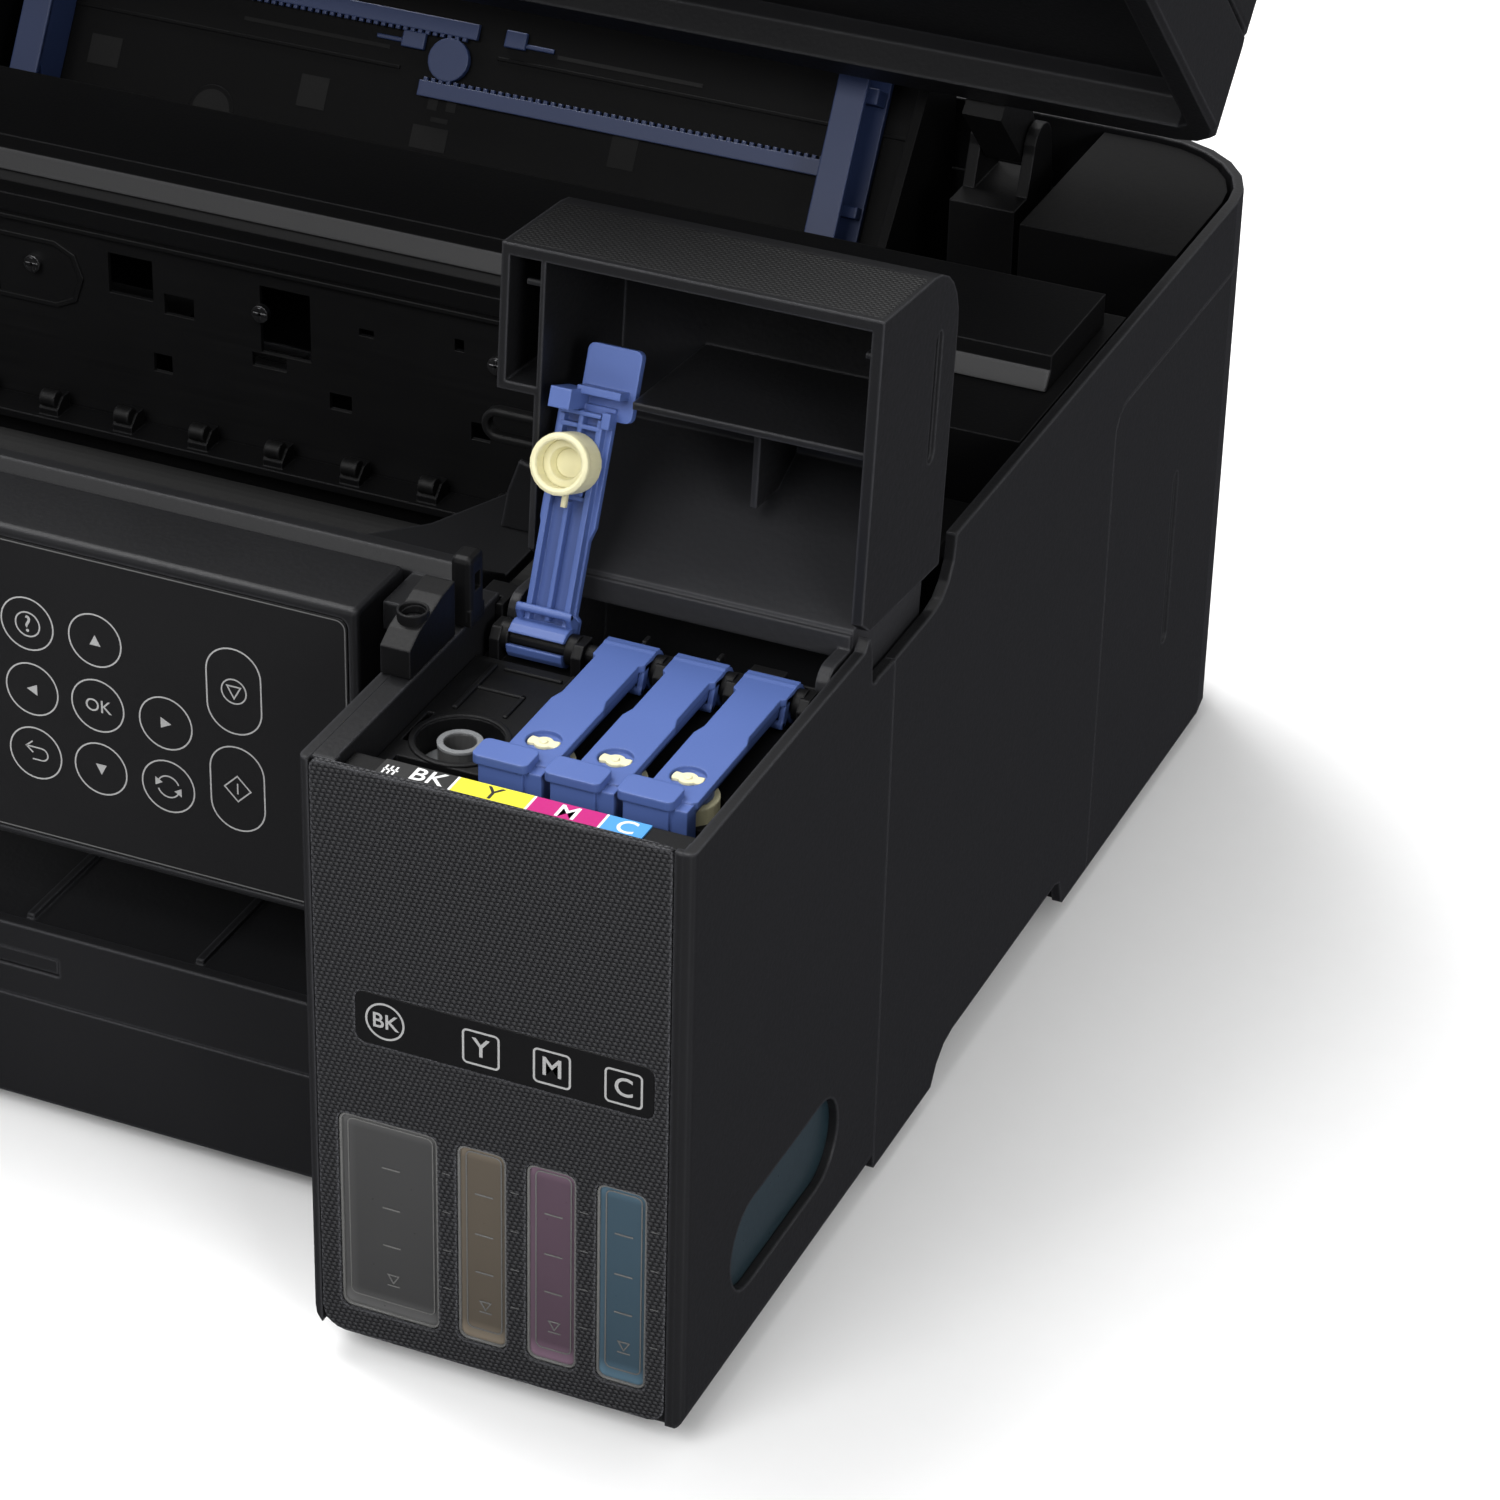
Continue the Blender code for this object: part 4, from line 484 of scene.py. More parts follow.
def make_finishes():
    """Every finish, made once."""
    c = colours()
    s = sizes()
    casing = tuple(c.casing)
    inner = tuple(c.inner)
    lever = tuple(c.lever)
    cap = tuple(c.cap)
    printing = tuple(c.print_line)
    made = {
        "casing": moulded("casing_grain", casing, s.shine, s.grain),
        "casing_fine": moulded("casing_fine_grain", casing, s.shine + 0.04, s.grain * 0.6, 0.00003),
        "inner": moulded("inner_moulding", inner, 0.5, s.grain * 0.7, 0.00003, 0.0006, 0.18),
        "cover": moulded("cover_grain", casing, s.shine, s.grain * 1.25, 0.00009, 0.0009, lit_skirt_gain=2.4),
        "woven": woven("woven_front", shade(casing, 1.3), 0.45, 2.6, 0.0003),
        # The cover's weave, much darker than the front's: painted shade on the upturned cover
        "woven_shaded": woven("woven_cover_shaded", shade(casing, 0.35), 0.55, 1.5, 0.00012),
        "deep": moulded("shaded_moulding", shade(inner, 0.55), 0.55, s.grain, 0.00002, 0.0005, 0.08),
        "strip": moulded("lit_strip", (0.026, 0.026, 0.027), 0.42, s.grain * 0.5, 0.00002),
        "lever": moulded("lever_plastic", lever, 0.42, s.grain * 0.5, 0.00001, 0.0006, 0.4, 1.35),
        "guide": moulded(
            "guide_plastic", shade(lever, 0.28), 0.42, s.grain * 0.5, 0.00001, 0.0005, 0.3, 1.5
        ),
        "cap": rubber("cap_rubber", cap, 0.55),
        "foot": rubber("foot_rubber", (0.02, 0.02, 0.02), 0.85),
        "roller": rubber("roller_rubber", (0.008, 0.008, 0.008), 0.8),
        # Near-black flat print for the feeder's holes: painted shade
        "hole_shade": ink_print("hole_shade_patch", (0.0006, 0.0006, 0.0006), 0.9),
        "metal": sheet_metal("dark_plated_sheet", (0.0045, 0.0045, 0.0048), 0.48, 0.0),
        "rod": sheet_metal("ground_rod", (0.3, 0.3, 0.31), 0.28, 1.0),
        "screw": sheet_metal("screw_steel", (0.16, 0.16, 0.165), 0.35, 1.0),
        "film": glossy_film("panel_film", (0.0085, 0.0085, 0.009), 0.4),
        "label": glossy_film("label_film", (0.005, 0.005, 0.0053), 0.35),
        "screen": glossy_film("screen_window", (0.006, 0.0065, 0.007), 0.12),
        "pad": rubber("pad_foam", (0.8, 0.8, 0.78), 0.8),
        "glass": clear_plastic("scanner_glass", (0.55, 0.6, 0.6), 0.35, 0.05),
        "neck": clear_plastic("neck_plastic", (0.35, 0.36, 0.37), 0.55, 0.2),
        "print": ink_print("key_print", printing),
        "print_dim": ink_print("dim_print", shade(printing, 0.3)),
        "white": ink_print("white_print", (0.75, 0.75, 0.75)),
        "strip_bk": ink_print("black_print", (0.012, 0.012, 0.012), 0.4),
        "strip_y": ink_print("yellow_print", (0.72, 0.66, 0.03), 0.4),
        "strip_m": ink_print("magenta_print", (0.42, 0.003, 0.15), 0.4),
        "strip_c": ink_print("cyan_print", (0.06, 0.27, 0.6), 0.4),
        "tank_bk": tinted_tank("black_ink_tank", (0.034, 0.034, 0.034), 0.3, WINDOWS["bk"]),
        "tank_y": tinted_tank("yellow_ink_tank", (0.064, 0.053, 0.040), 0.3, WINDOWS["y"]),
        "tank_m": tinted_tank("magenta_ink_tank", (0.058, 0.036, 0.051), 0.3, WINDOWS["m"]),
        "tank_c": tinted_tank("cyan_ink_tank", (0.026, 0.048, 0.066), 0.3, WINDOWS["c"]),
        "rim": tinted_tank("window_rim", (0.12, 0.12, 0.117), 0.22),
        "side_tank": tinted_tank("side_window_tank", (0.012, 0.026, 0.034)),
        "black": moulded("black_trim", (0.004, 0.004, 0.0042), 0.5, s.grain * 0.6, 0.00002),
    }
    FINISHES.update(made)


def finish_of(name):
    if not FINISHES:
        make_finishes()
    return FINISHES[name]


def paint(node, name):
    """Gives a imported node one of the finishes."""
    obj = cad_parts[node]
    if not obj.material_slots:
        obj.data.materials.append(None)
    for slot in obj.material_slots:
        slot.link = "OBJECT"
        slot.material = finish_of(name)


# Mesh making, in millimetres


def round_rect(x, y, radius, steps=5):
    """The outline of a rectangle with round corners."""
    points = []
    corners = (
        (x[1] - radius, y[1] - radius, 0),
        (x[0] + radius, y[1] - radius, 90),
        (x[0] + radius, y[0] + radius, 180),
        (x[1] - radius, y[0] + radius, 270),
    )
    for cx, cy, start in corners:
        for i in range(steps + 1):
            a = math.radians(start + 90.0 * i / steps)
            points.append((cx + radius * math.cos(a), cy + radius * math.sin(a)))
    return points


def circle(cx, cy, radius, sides=36, start=0.0, sweep=360.0):
    count = sides if sweep >= 360.0 else sides + 1
    return [
        (
            cx + radius * math.cos(math.radians(start + sweep * i / sides)),
            cy + radius * math.sin(math.radians(start + sweep * i / sides)),
        )
        for i in range(count)
    ]


def rectangle(x, y):
    return [(x[0], y[0]), (x[1], y[0]), (x[1], y[1]), (x[0], y[1])]


def neighbours(count, closed):
    """Each place in a line or loop of points, with the next one."""
    return [(i, (i + 1) % count) for i in range(count if closed else count - 1)]


def hinge_turn(hinge, unit=1.0):
    """The turn about a hinge, from the closed place to the rest angle."""
    y, z, angle = hinge
    return (
        Matrix.Translation((0, y * unit, z * unit))
        @ Matrix.Rotation(-math.radians(angle), 4, "X")
        @ Matrix.Translation((0, -y * unit, -z * unit))
    )


class Piece:
    """A mesh piece put together from simple closed shapes."""

    def __init__(self, name, *materials):
        self.name = name
        self.materials = materials
        self.bm = bmesh.new()
        self.slot = 0

    def _lift(self, u, v, w, axis):
        if axis == "X":
            return (w, u, v)
        if axis == "Y":
            return (u, w, v)
        return (u, v, w)

    def _ring(self, axis, points, w):
        return [self.bm.verts.new(self._lift(u, v, w, axis)) for u, v in points]

    def prism(self, axis, points, low, high):
        """A flat outline given thickness: Y and Z for X, X and Z for Y, X and Y for Z."""
        self.skin([self._ring(axis, points, w) for w in (low, high)])

    def _done(self, faces):
        for face in faces:
            face.material_index = self.slot
        bmesh.ops.recalc_face_normals(self.bm, faces=faces)

    def block(self, x, y, z):
        self.prism("Z", rectangle(x, y), *z)

    def rod(self, axis, centre, radius, low, high, sides=24, tip=0.0):
        """A round bar, with a small chamfer at each end where a tip is given."""
        steps = [(low, radius), (high, radius)]
        if tip:
            steps = [(low, radius - tip), (low + tip, radius), (high - tip, radius), (high, radius - tip)]
        self.skin([self._ring(axis, circle(*centre, r, sides), w) for w, r in steps])

    def skin(self, rings, closed=False):
        """Faces between rings of points, with two end faces or joined into a loop."""
        pairs = list(zip(rings, rings[1:]))
        if closed:
            pairs.append((rings[-1], rings[0]))
        faces = []
        for a, b in pairs:
            for i, j in neighbours(len(a), True):
                faces.append(self.bm.faces.new((a[i], a[j], b[j], b[i])))
        if not closed:
            faces += [self.bm.faces.new(rings[0]), self.bm.faces.new(rings[-1])]
        self._done(faces)

    def turned(self, axis, centre, profile, sides=32):
        """A turned ring: its profile is radius and place along the axis, a closed loop."""
        self.skin([self._ring(axis, circle(*centre, r, sides), w) for r, w in profile], closed=True)

    def ribbon(self, axis, points, width, low, high, closed=False):
        """A line of even width along flat points, given thickness."""
        count = len(points)
        left, right = [], []
        for i, point in enumerate(points):
            before = points[(i - 1) % count] if closed or i else point
            after = points[(i + 1) % count] if closed or i < count - 1 else point
            d1 = Vector(point) - Vector(before)
            d2 = Vector(after) - Vector(point)
            d1 = d1.normalized() if d1.length > 1e-9 else d2.normalized()
            d2 = d2.normalized() if d2.length > 1e-9 else d1
            mean = (d1 + d2).normalized()
            normal = Vector((-mean.y, mean.x))
            reach = width / 2 / max(0.4, normal.dot(Vector((-d1.y, d1.x))))
            left.append(Vector(point) + normal * reach)
            right.append(Vector(point) - normal * reach)
        la, lb = (self._ring(axis, left, w) for w in (low, high))
        ra, rb = (self._ring(axis, right, w) for w in (low, high))
        faces = []
        for i, j in neighbours(count, closed):
            for a, b in ((la, ra), (lb, rb), (la, lb), (ra, rb)):
                faces.append(self.bm.faces.new((a[i], a[j], b[j], b[i])))
        if not closed:
            for i in (0, -1):
                faces.append(self.bm.faces.new((la[i], ra[i], rb[i], lb[i])))
        self._done(faces)

    def text(self, words, x, z, height, y, weight=0.0, axis="Y"):
        """Lettering that faces the front, or lies flat and reads from the front."""
        curve = bpy.data.curves.new("letters", "FONT")
        curve.body = words
        curve.align_x = "CENTER"
        curve.align_y = "CENTER"
        curve.size = height * 1.4
        curve.offset = weight
        curve.resolution_u = 4
        curve.extrude = LETTER_DEPTH / 2
        holder = bpy.data.objects.new("letters", curve)
        bpy.context.scene.collection.objects.link(holder)
        bpy.context.view_layer.update()
        graph = bpy.context.evaluated_depsgraph_get()
        mesh = bpy.data.meshes.new_from_object(holder.evaluated_get(graph))
        bpy.data.objects.remove(holder, do_unlink=True)
        if axis == "Y":
            turn = Matrix(((1, 0, 0, x), (0, 0, -1, y), (0, 1, 0, z), (0, 0, 0, 1)))
        else:
            turn = Matrix(((1, 0, 0, x), (0, 1, 0, z), (0, 0, 1, y), (0, 0, 0, 1)))
        mesh.transform(turn)
        extra = bmesh.new()
        extra.from_mesh(mesh)
        bmesh.ops.remove_doubles(extra, verts=extra.verts, dist=1e-5)
        copies = {v: self.bm.verts.new(v.co) for v in extra.verts}
        faces = []
        for face in extra.faces:
            try:
                faces.append(self.bm.faces.new([copies[v] for v in face.verts]))
            except ValueError:
                continue
        for face in faces:
            face.material_index = self.slot
        extra.free()
        bpy.data.meshes.remove(mesh)

    def finish(self, body, bevel=0.0, segments=2, slot=None, hinge=None):
        """Makes the object, turned about its hinge if it has one, and rides it on a body."""
        if hinge:
            bmesh.ops.transform(self.bm, matrix=hinge_turn(hinge), verts=self.bm.verts)
        mesh = bpy.data.meshes.new(self.name)
        bmesh.ops.scale(self.bm, vec=(MM, MM, MM), verts=self.bm.verts)
        self.bm.to_mesh(mesh)
        self.bm.free()
        for name in self.materials:
            mesh.materials.append(finish_of(name))
        mesh.shade_smooth()
        mesh.set_sharp_from_angle(angle=math.radians(30))
        obj = bpy.data.objects.new(self.name, mesh)
        bpy.context.scene.collection.objects.link(obj)
        if bevel:
            mod = obj.modifiers.new("round_edges", "BEVEL")
            mod.width = bevel * MM
            mod.segments = segments
            mod.limit_method = "ANGLE"
            mod.angle_limit = math.radians(35)
            mod.harden_normals = True
        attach(obj, body)
        return obj


# Geometry Nodes


REPEAT_INPUTS = (
    ("Count", "NodeSocketInt"),
    ("First", "NodeSocketVector"),
    ("Step", "NodeSocketVector"),
    ("Size", "NodeSocketVector"),
    ("Turn", "NodeSocketVector"),
    ("Material", "NodeSocketMaterial"),
)


def repeat_tree(kind):
    """A node tree that repeats a small bar, wheel or screw head along a line.

    Its inputs are the count, the first place, the step, the size of one piece and its
    turn, and the material.
    """
    tree = bpy.data.node_groups.new("repeat_" + kind, "GeometryNodeTree")
    face = tree.interface
    for name, socket in REPEAT_INPUTS:
        face.new_socket(name, in_out="INPUT", socket_type=socket)
    face.new_socket("Geometry", in_out="OUTPUT", socket_type="NodeSocketGeometry")

    def add(node_type, **sockets):
        """A node with its sockets linked or set, by name with _ for a space."""
        made = tree.nodes.new(node_type)
        for name, value in sockets.items():
            socket = made.inputs[name.replace("_", " ")]
            if isinstance(value, bpy.types.NodeSocket):
                tree.links.new(value, socket)
            else:
                socket.default_value = value
        return made

    given = add("NodeGroupInput").outputs
    line = add(
        "GeometryNodeMeshLine",
        Count=given["Count"],
        Start_Location=given["First"],
        Offset=given["Step"],
    )
    if kind == "bar":
        shape = add("GeometryNodeMeshCube", Size=given["Size"]).outputs["Mesh"]
    else:
        size = add("ShaderNodeSeparateXYZ", Vector=given["Size"]).outputs
        round_head = add("GeometryNodeMeshCylinder", Vertices=20, Radius=size["X"], Depth=size["Z"])
        shape = round_head.outputs["Mesh"]
        if kind == "screw":
            # The cross in the head: two thin raised bars
            join = add("GeometryNodeJoinGeometry", Geometry=shape)
            for factors in ((1.5, 0.28, 1.08), (0.28, 1.5, 1.08)):
                cross = tree.nodes.new("ShaderNodeCombineXYZ")
                for index, (part, factor) in enumerate(zip(("X", "X", "Z"), factors)):
                    scale = tree.nodes.new("ShaderNodeMath")
                    scale.operation = "MULTIPLY"
                    tree.links.new(size[part], scale.inputs[0])
                    scale.inputs[1].default_value = factor
                    tree.links.new(scale.outputs[0], cross.inputs[index])
                arm = add("GeometryNodeMeshCube", Size=cross.outputs[0])
                tree.links.new(arm.outputs["Mesh"], join.inputs[0])
            shape = join.outputs[0]
    turn = add("FunctionNodeEulerToRotation", Euler=given["Turn"]).outputs[0]
    put = add(
        "GeometryNodeInstanceOnPoints", Points=line.outputs["Mesh"], Instance=shape, Rotation=turn
    )
    real = add("GeometryNodeRealizeInstances", Geometry=put.outputs["Instances"])
    painted = add(
        "GeometryNodeSetMaterial", Geometry=real.outputs["Geometry"], Material=given["Material"]
    )
    add("NodeGroupOutput", Geometry=painted.outputs["Geometry"])
    return tree


TREES = {}


def repeated(name, kind, body, count, first, step, size, material, turn=(0, 0, 0), hinge=None):
    """A row of like pieces made by Geometry Nodes and turned into one plain mesh."""
    if kind not in TREES:
        TREES[kind] = repeat_tree(kind)
    tree = TREES[kind]
    holder = bpy.data.objects.new(name + "_row", bpy.data.meshes.new(name + "_row"))
    bpy.context.scene.collection.objects.link(holder)
    mod = holder.modifiers.new("repeat", "NODES")
    mod.node_group = tree
    values = {
        "Count": count,
        "First": [v * MM for v in first],
        "Step": [v * MM for v in step],
        "Size": [v * MM for v in size],
        "Turn": [math.radians(v) for v in turn],
        "Material": finish_of(material),
    }
    for item in tree.interface.items_tree:
        if item.in_out == "INPUT":
            mod[item.identifier] = values[item.name]
    bpy.context.view_layer.update()
    graph = bpy.context.evaluated_depsgraph_get()
    mesh = bpy.data.meshes.new_from_object(holder.evaluated_get(graph))
    bpy.data.objects.remove(holder, do_unlink=True)
    mesh.name = name
    if hinge:
        mesh.transform(hinge_turn(hinge, MM))
    mesh.materials.clear()
    mesh.materials.append(finish_of(material))
    mesh.shade_smooth()
    mesh.set_sharp_from_angle(angle=math.radians(35))
    obj = bpy.data.objects.new(name, mesh)
    bpy.context.scene.collection.objects.link(obj)
    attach(obj, body)
    return obj


# Operators


class PRINTER_OT_finishes(bpy.types.Operator):
    """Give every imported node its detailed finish"""

    bl_idname = "printer.finishes"
    bl_label = "Finish the packed parts"

    def execute(self, context):
        plan = {
            "casing": (
                "body_shell",
                "rear_cover",
                "tank_case",
                "panel_housing",
                "scanner_housing",
                "scanner_lid",
                "output_tray",
                "tray_extension",
            ),
            "casing_fine": ("front_frame", "power_button"),
            "cover": ("tank_cover",),
            "inner": (
                "base_tray",
                "tank_deck",
                "tank_post",
                "cover_hinge_boss",
                "housing_left",
                "housing_right",
                "cross_bar",
                "pinch_holder",
                "power_inlet",
                "hinge_bracket_left",
                "hinge_bracket_right",
                "print_carriage",
                "scan_head",
                "lever_rod",
                "hinge_block",
            ),
            "deep": ("feeder_plate", "rear_box", "platen"),
            "woven": ("tank_front_skin",),
            "film": ("panel_film",),
            "lever": ("lever_bk", "lever_y", "lever_m", "lever_c"),
            "guide": ("edge_guide_left", "edge_guide_right", "guide_pinion"),
            "cap": ("cap_bk", "cap_y", "cap_m", "cap_c"),
            "metal": ("chassis_plate", "scanner_arm_left", "scanner_arm_right"),
            "rod": ("carriage_rod", "data_port"),
            "screw": ("hinge_screw",),
            "roller": ("feed_roller", "exit_roller"),
            "foot": ("foot_front_left", "foot_rear_left", "foot_rear_right", "foot_front_right"),
            "pad": ("lid_pad",),
            "glass": ("scanner_glass",),
            "tank_bk": ("ink_tank_bk",),
            "tank_y": ("ink_tank_y",),
            "tank_m": ("ink_tank_m",),
            "tank_c": ("ink_tank_c",),
        }
        painted = set()
        for name, nodes in plan.items():
            for node in nodes:
                paint(node, name)
                painted.add(node)
        missed = set(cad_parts) - painted
        if missed:
            raise RuntimeError("no finish for " + ", ".join(sorted(missed)))
        return {"FINISHED"}


class PRINTER_OT_windows(bpy.types.Operator):
    """Add the rims and level marks of the ink windows"""

    bl_idname = "printer.windows"
    bl_label = "Ink windows"

    def execute(self, context):
        mark_depth = (TANK_FACE + 0.82, TANK_FACE + 1.05)
        for ink, (low, high) in WINDOWS.items():
            rim = Piece("window_rim_" + ink, "rim")
            outer = round_rect((low + 0.35, high - 0.35), WINDOW_Z, 1.9)
            rim.ribbon("Y", outer, 0.5, TANK_FACE + 0.5, TANK_FACE + 1.3, closed=True)
            inside = round_rect((low + 1.9, high - 1.5), (16.2, 60.4), 1.3)
            rim.ribbon("Y", inside, 0.28, TANK_FACE + 0.86, TANK_FACE + 1.05, closed=True)
            rim.finish("base", slot="translucent_tank")
            mark = Piece("level_marks_" + ink, "rim")
            middle = (low + high) / 2 + 0.6
            for z in (30.5, 40.0, 50.0):
                mark.block((middle - 2.4, middle + 1.6), mark_depth, (z, z + 0.3))
            lowest = [(middle - 1.4, 23.4), (middle + 1.0, 23.4), (middle - 0.2, 21.4)]
            mark.ribbon("Y", lowest, 0.28, *mark_depth, closed=True)
            mark.block((middle - 1.6, middle + 1.2), mark_depth, (20.6, 20.85))
            mark.finish("base", slot="translucent_tank")
        for index, x in enumerate(SCALE_X):
            first = (x, TANK_FACE - 0.03, 25.0)
            size = (1.8, 0.12, 0.16)
            repeated("scale_marks_%d" % index, "bar", "base", 4, first, (0, 0, 9.6), size, "print_dim")
        side = Piece("side_window_tank", "side_tank")
        side.prism("X", round_rect((-150.8, -94.2), (21.4, 42.2), 10.2, 8), 184.95, 185.4)
        side.finish("base", slot="translucent_tank")
        return {"FINISHED"}


class PRINTER_OT_labels(bpy.types.Operator):
    """Add the printed label plate and the colour strip of the tank unit"""

    bl_idname = "printer.labels"
    bl_label = "Ink labels"

    def execute(self, context):
        outline = round_rect((114.6, 179.9), (80.8, 93.0), 2.1)
        plate = Piece("label_plate", "label")
        plate.prism("Y", outline, TANK_FACE - 0.02, TANK_FACE + 0.3)
        plate.finish("base", bevel=0.05, segments=1, slot="printed_label")
        signs = Piece("label_signs", "print")
        face = (TANK_FACE - 0.08, TANK_FACE - 0.01)
        middle = TANK_FACE - 0.05
        signs.ribbon("Y", circle(121.2, LABEL_Z + 0.3, 4.15), 0.45, *face, closed=True)
        signs.text("BK", 121.25, LABEL_Z + 0.15, 3.5, middle, 0.05)
        for letter, x in LABEL_X.items():
            frame_line = round_rect((x - 3.9, x + 3.9), (LABEL_Z - 3.9, LABEL_Z + 3.9), 0.9, 4)
            signs.ribbon("Y", frame_line, 0.45, *face, closed=True)
            signs.text(letter, x, LABEL_Z, 4.4, middle, 0.06)
        signs.finish("base", slot="printed_label")
        strip = Piece("colour_strip", "strip_bk", "strip_y", "strip_m", "strip_c", "white", "strip_bk")
        for index, x in enumerate(STRIP_COLOURS):
            strip.slot = index
            strip.block(x, STRIP_Y, STRIP_Z)
        strip.slot = 4
        for (_, end), (start, _) in zip(STRIP_COLOURS, STRIP_COLOURS[1:]):
            middle = (end + start) / 2
            strip.block((middle - 0.25, middle + 0.25), STRIP_Y, STRIP_Z)
        letter_y = sum(STRIP_Y) / 2 - 0.3
        letter_z = STRIP_Z[1] + 0.02
        for letter, x in (("BK", 127.8), ("M", 157.6), ("C", 170.0)):
            strip.text(letter, x, letter_y, 4.4, letter_z, 0.05, axis="Z")
        comb_z = (STRIP_Z[1] - 0.02, STRIP_Z[1] + 0.06)
        for i in range(3):
            strip.block((118.6 + i * 1.1, 119.0 + i * 1.1), (-168.4, -165.4), comb_z)
        strip.block((118.4, 121.6), (-167.1, -166.7), comb_z)
        strip.slot = 5
        strip.text("Y", 141.6, letter_y, 4.4, letter_z, 0.03, axis="Z")
        strip.finish("base", slot="printed_label")
        return {"FINISHED"}


class PRINTER_OT_levers(bpy.types.Operator):
    """Add the ribs, keyed bosses and hinge details of the cap levers"""

    bl_idname = "printer.levers"
    bl_label = "Cap levers"

    def execute(self, context):
        for ink, (x, y) in PORTS.items():
            body = LEVER_BODY[ink]
            hand = -1 if ink == "bk" else 1
            half = 6.2 if ink == "bk" else 5.7
            hinge = LEVER_HINGE if ink == "bk" else None
            ribs = Piece("lever_ribs_" + ink, "lever")
            for reach, along, up in (
                (0.5, (-133.5, -108.5), (138.2, 140.5)),
                (4.2, (-134.9, -133.9), (138.6, 140.6)),
                (4.4, (-149.6, -148.6), (137.9, 140.6)),
                (4.4, (-152.2, -151.3), (137.6, 140.6)),
                (0.5, (-152.4, -147.0), (137.8, 140.6)),
                (3.0, (-137.6, -135.0), (138.0, 140.6)),
            ):
                ribs.block((x - reach, x + reach), along, up)
            cheek = sorted((x - hand * (half + 0.3), x - hand * (half - 1.6)))
            ribs.block(cheek, (-152.8, -149.4), (137.4, 140.8))
            ribs.finish(body, bevel=0.18, slot="blue_plastic", hinge=hinge)
            # The cap's keyed boss, seen through the lever's round recess
            boss = Piece("cap_key_" + ink, "cap")
            key = []
            for degrees in range(0, 360, 12):
                a = math.radians(degrees)
                swell = 3.3 if abs(math.cos(a)) > 0.86 else 2.0
                key.append((x + swell * math.cos(a), y + swell * math.sin(a)))
            boss.prism("Z", key, 140.4, 141.6)
            boss.rod("Z", (x, y), 0.8, 141.3, 141.9, 16, 0.15)
            boss.finish(body, bevel=0.2, slot="cream_rubber", hinge=hinge)
            rim = Piece("cap_lip_" + ink, "cap")
            lip_profile = (
                (5.1, 130.35),
                (5.7, 130.15),
                (6.3, 130.5),
                (6.5, 131.2),
                (6.4, 131.9),
                (5.05, 131.6),
            )
            rim.turned("Z", (x, y), lip_profile)
            if ink == "bk":
                rim.turned("Z", (x, y), [(2.9, 136.2), (4.95, 136.2), (4.95, 133.9), (3.4, 133.9)])
                rim.block((x - 0.5, x + 0.5), (y + 6.2, y + 9.2), (136.3, 137.5))
            rim.finish(body, slot="cream_rubber", hinge=hinge)
            lip = Piece("lever_lip_" + ink, "lever")
            lip.rod("X", (LEVER_HINGE[0] - 6.6, LEVER_HINGE[1] - 1.6), 0.9, x - half, x + half, 12, 0.2)
            cheek_side = [(-111.4, 135.8), (-109.8, 135.8), (-104.0, 141.0), (-109.0, 141.6)]
            for side in (-1, 1):
                lip.prism("X", cheek_side, *sorted((x + side * half, x + side * (half - 1.2))))
            lip.finish(body, bevel=0.15, slot="blue_plastic", hinge=hinge)
        return {"FINISHED"}


class PRINTER_OT_tank_top(bpy.types.Operator):
    """Add the filler rings, step lines and hinge collars of the tank deck"""

    bl_idname = "printer.tank_top"
    bl_label = "Tank deck"

    def execute(self, context):
        x, y = PORTS["bk"]
        ring = Piece("filler_ring", "neck")
        ring.turned("Z", (x, y), [(3.4, 134.3), (4.7, 134.3), (4.7, 134.9), (3.4, 134.9)])
        ring.turned("Z", (x, y), [(5.0, 128.0), (8.6, 128.0), (8.6, 128.8), (5.0, 128.8)])
        ring.finish("base", slot="translucent_tank")
        deck = Piece("deck_details", "inner")
        foot, step = DECK_TOP - 0.1, DECK_TOP + 0.5
        deck.turned("Z", (x, y), [(9.05, foot - 0.1), (10.4, foot - 0.1), (10.4, step), (9.05, step)])
        deck.block((115.2, 116.4), (-131.0, -112.0), (foot, step + 0.2))
        deck.block((116.4, 127.0), (-121.8, -120.8), (foot, step))
        deck.block((126.0, 127.0), (-130.0, -120.8), (foot, step))
        deck.block((118.0, 131.0), (-113.0, -112.0), (foot, step + 0.1))
        for low in (132.4, 149.2, 165.0):
            deck.block((low, low + 1.4), (-132.0, -110.5), (foot - 0.1, DECK_TOP + 1.2))
        deck.block((167.5, 175.0), (-102.0, -99.2), (139.0, 141.9))
        deck.block((166.0, 181.0), (-99.4, -98.6), (134.0, 139.5))
        for xx in (143.6, 160.0):
            deck.block((xx, xx + 0.9), (-101.6, -98.8), (134.0, 142.4))
        deck.finish("base", bevel=0.25)
        collars = Piece("rod_collars", "inner")
        for xx in (129.9, 148.95, 164.5, 180.0, 114.9):
            section = [(2.05, xx - 1.1), (3.3, xx - 1.1), (3.3, xx + 1.1), (2.05, xx + 1.1)]
            collars.turned("X", LEVER_HINGE[:2], section, 20)
        collars.finish("base")
        return {"FINISHED"}


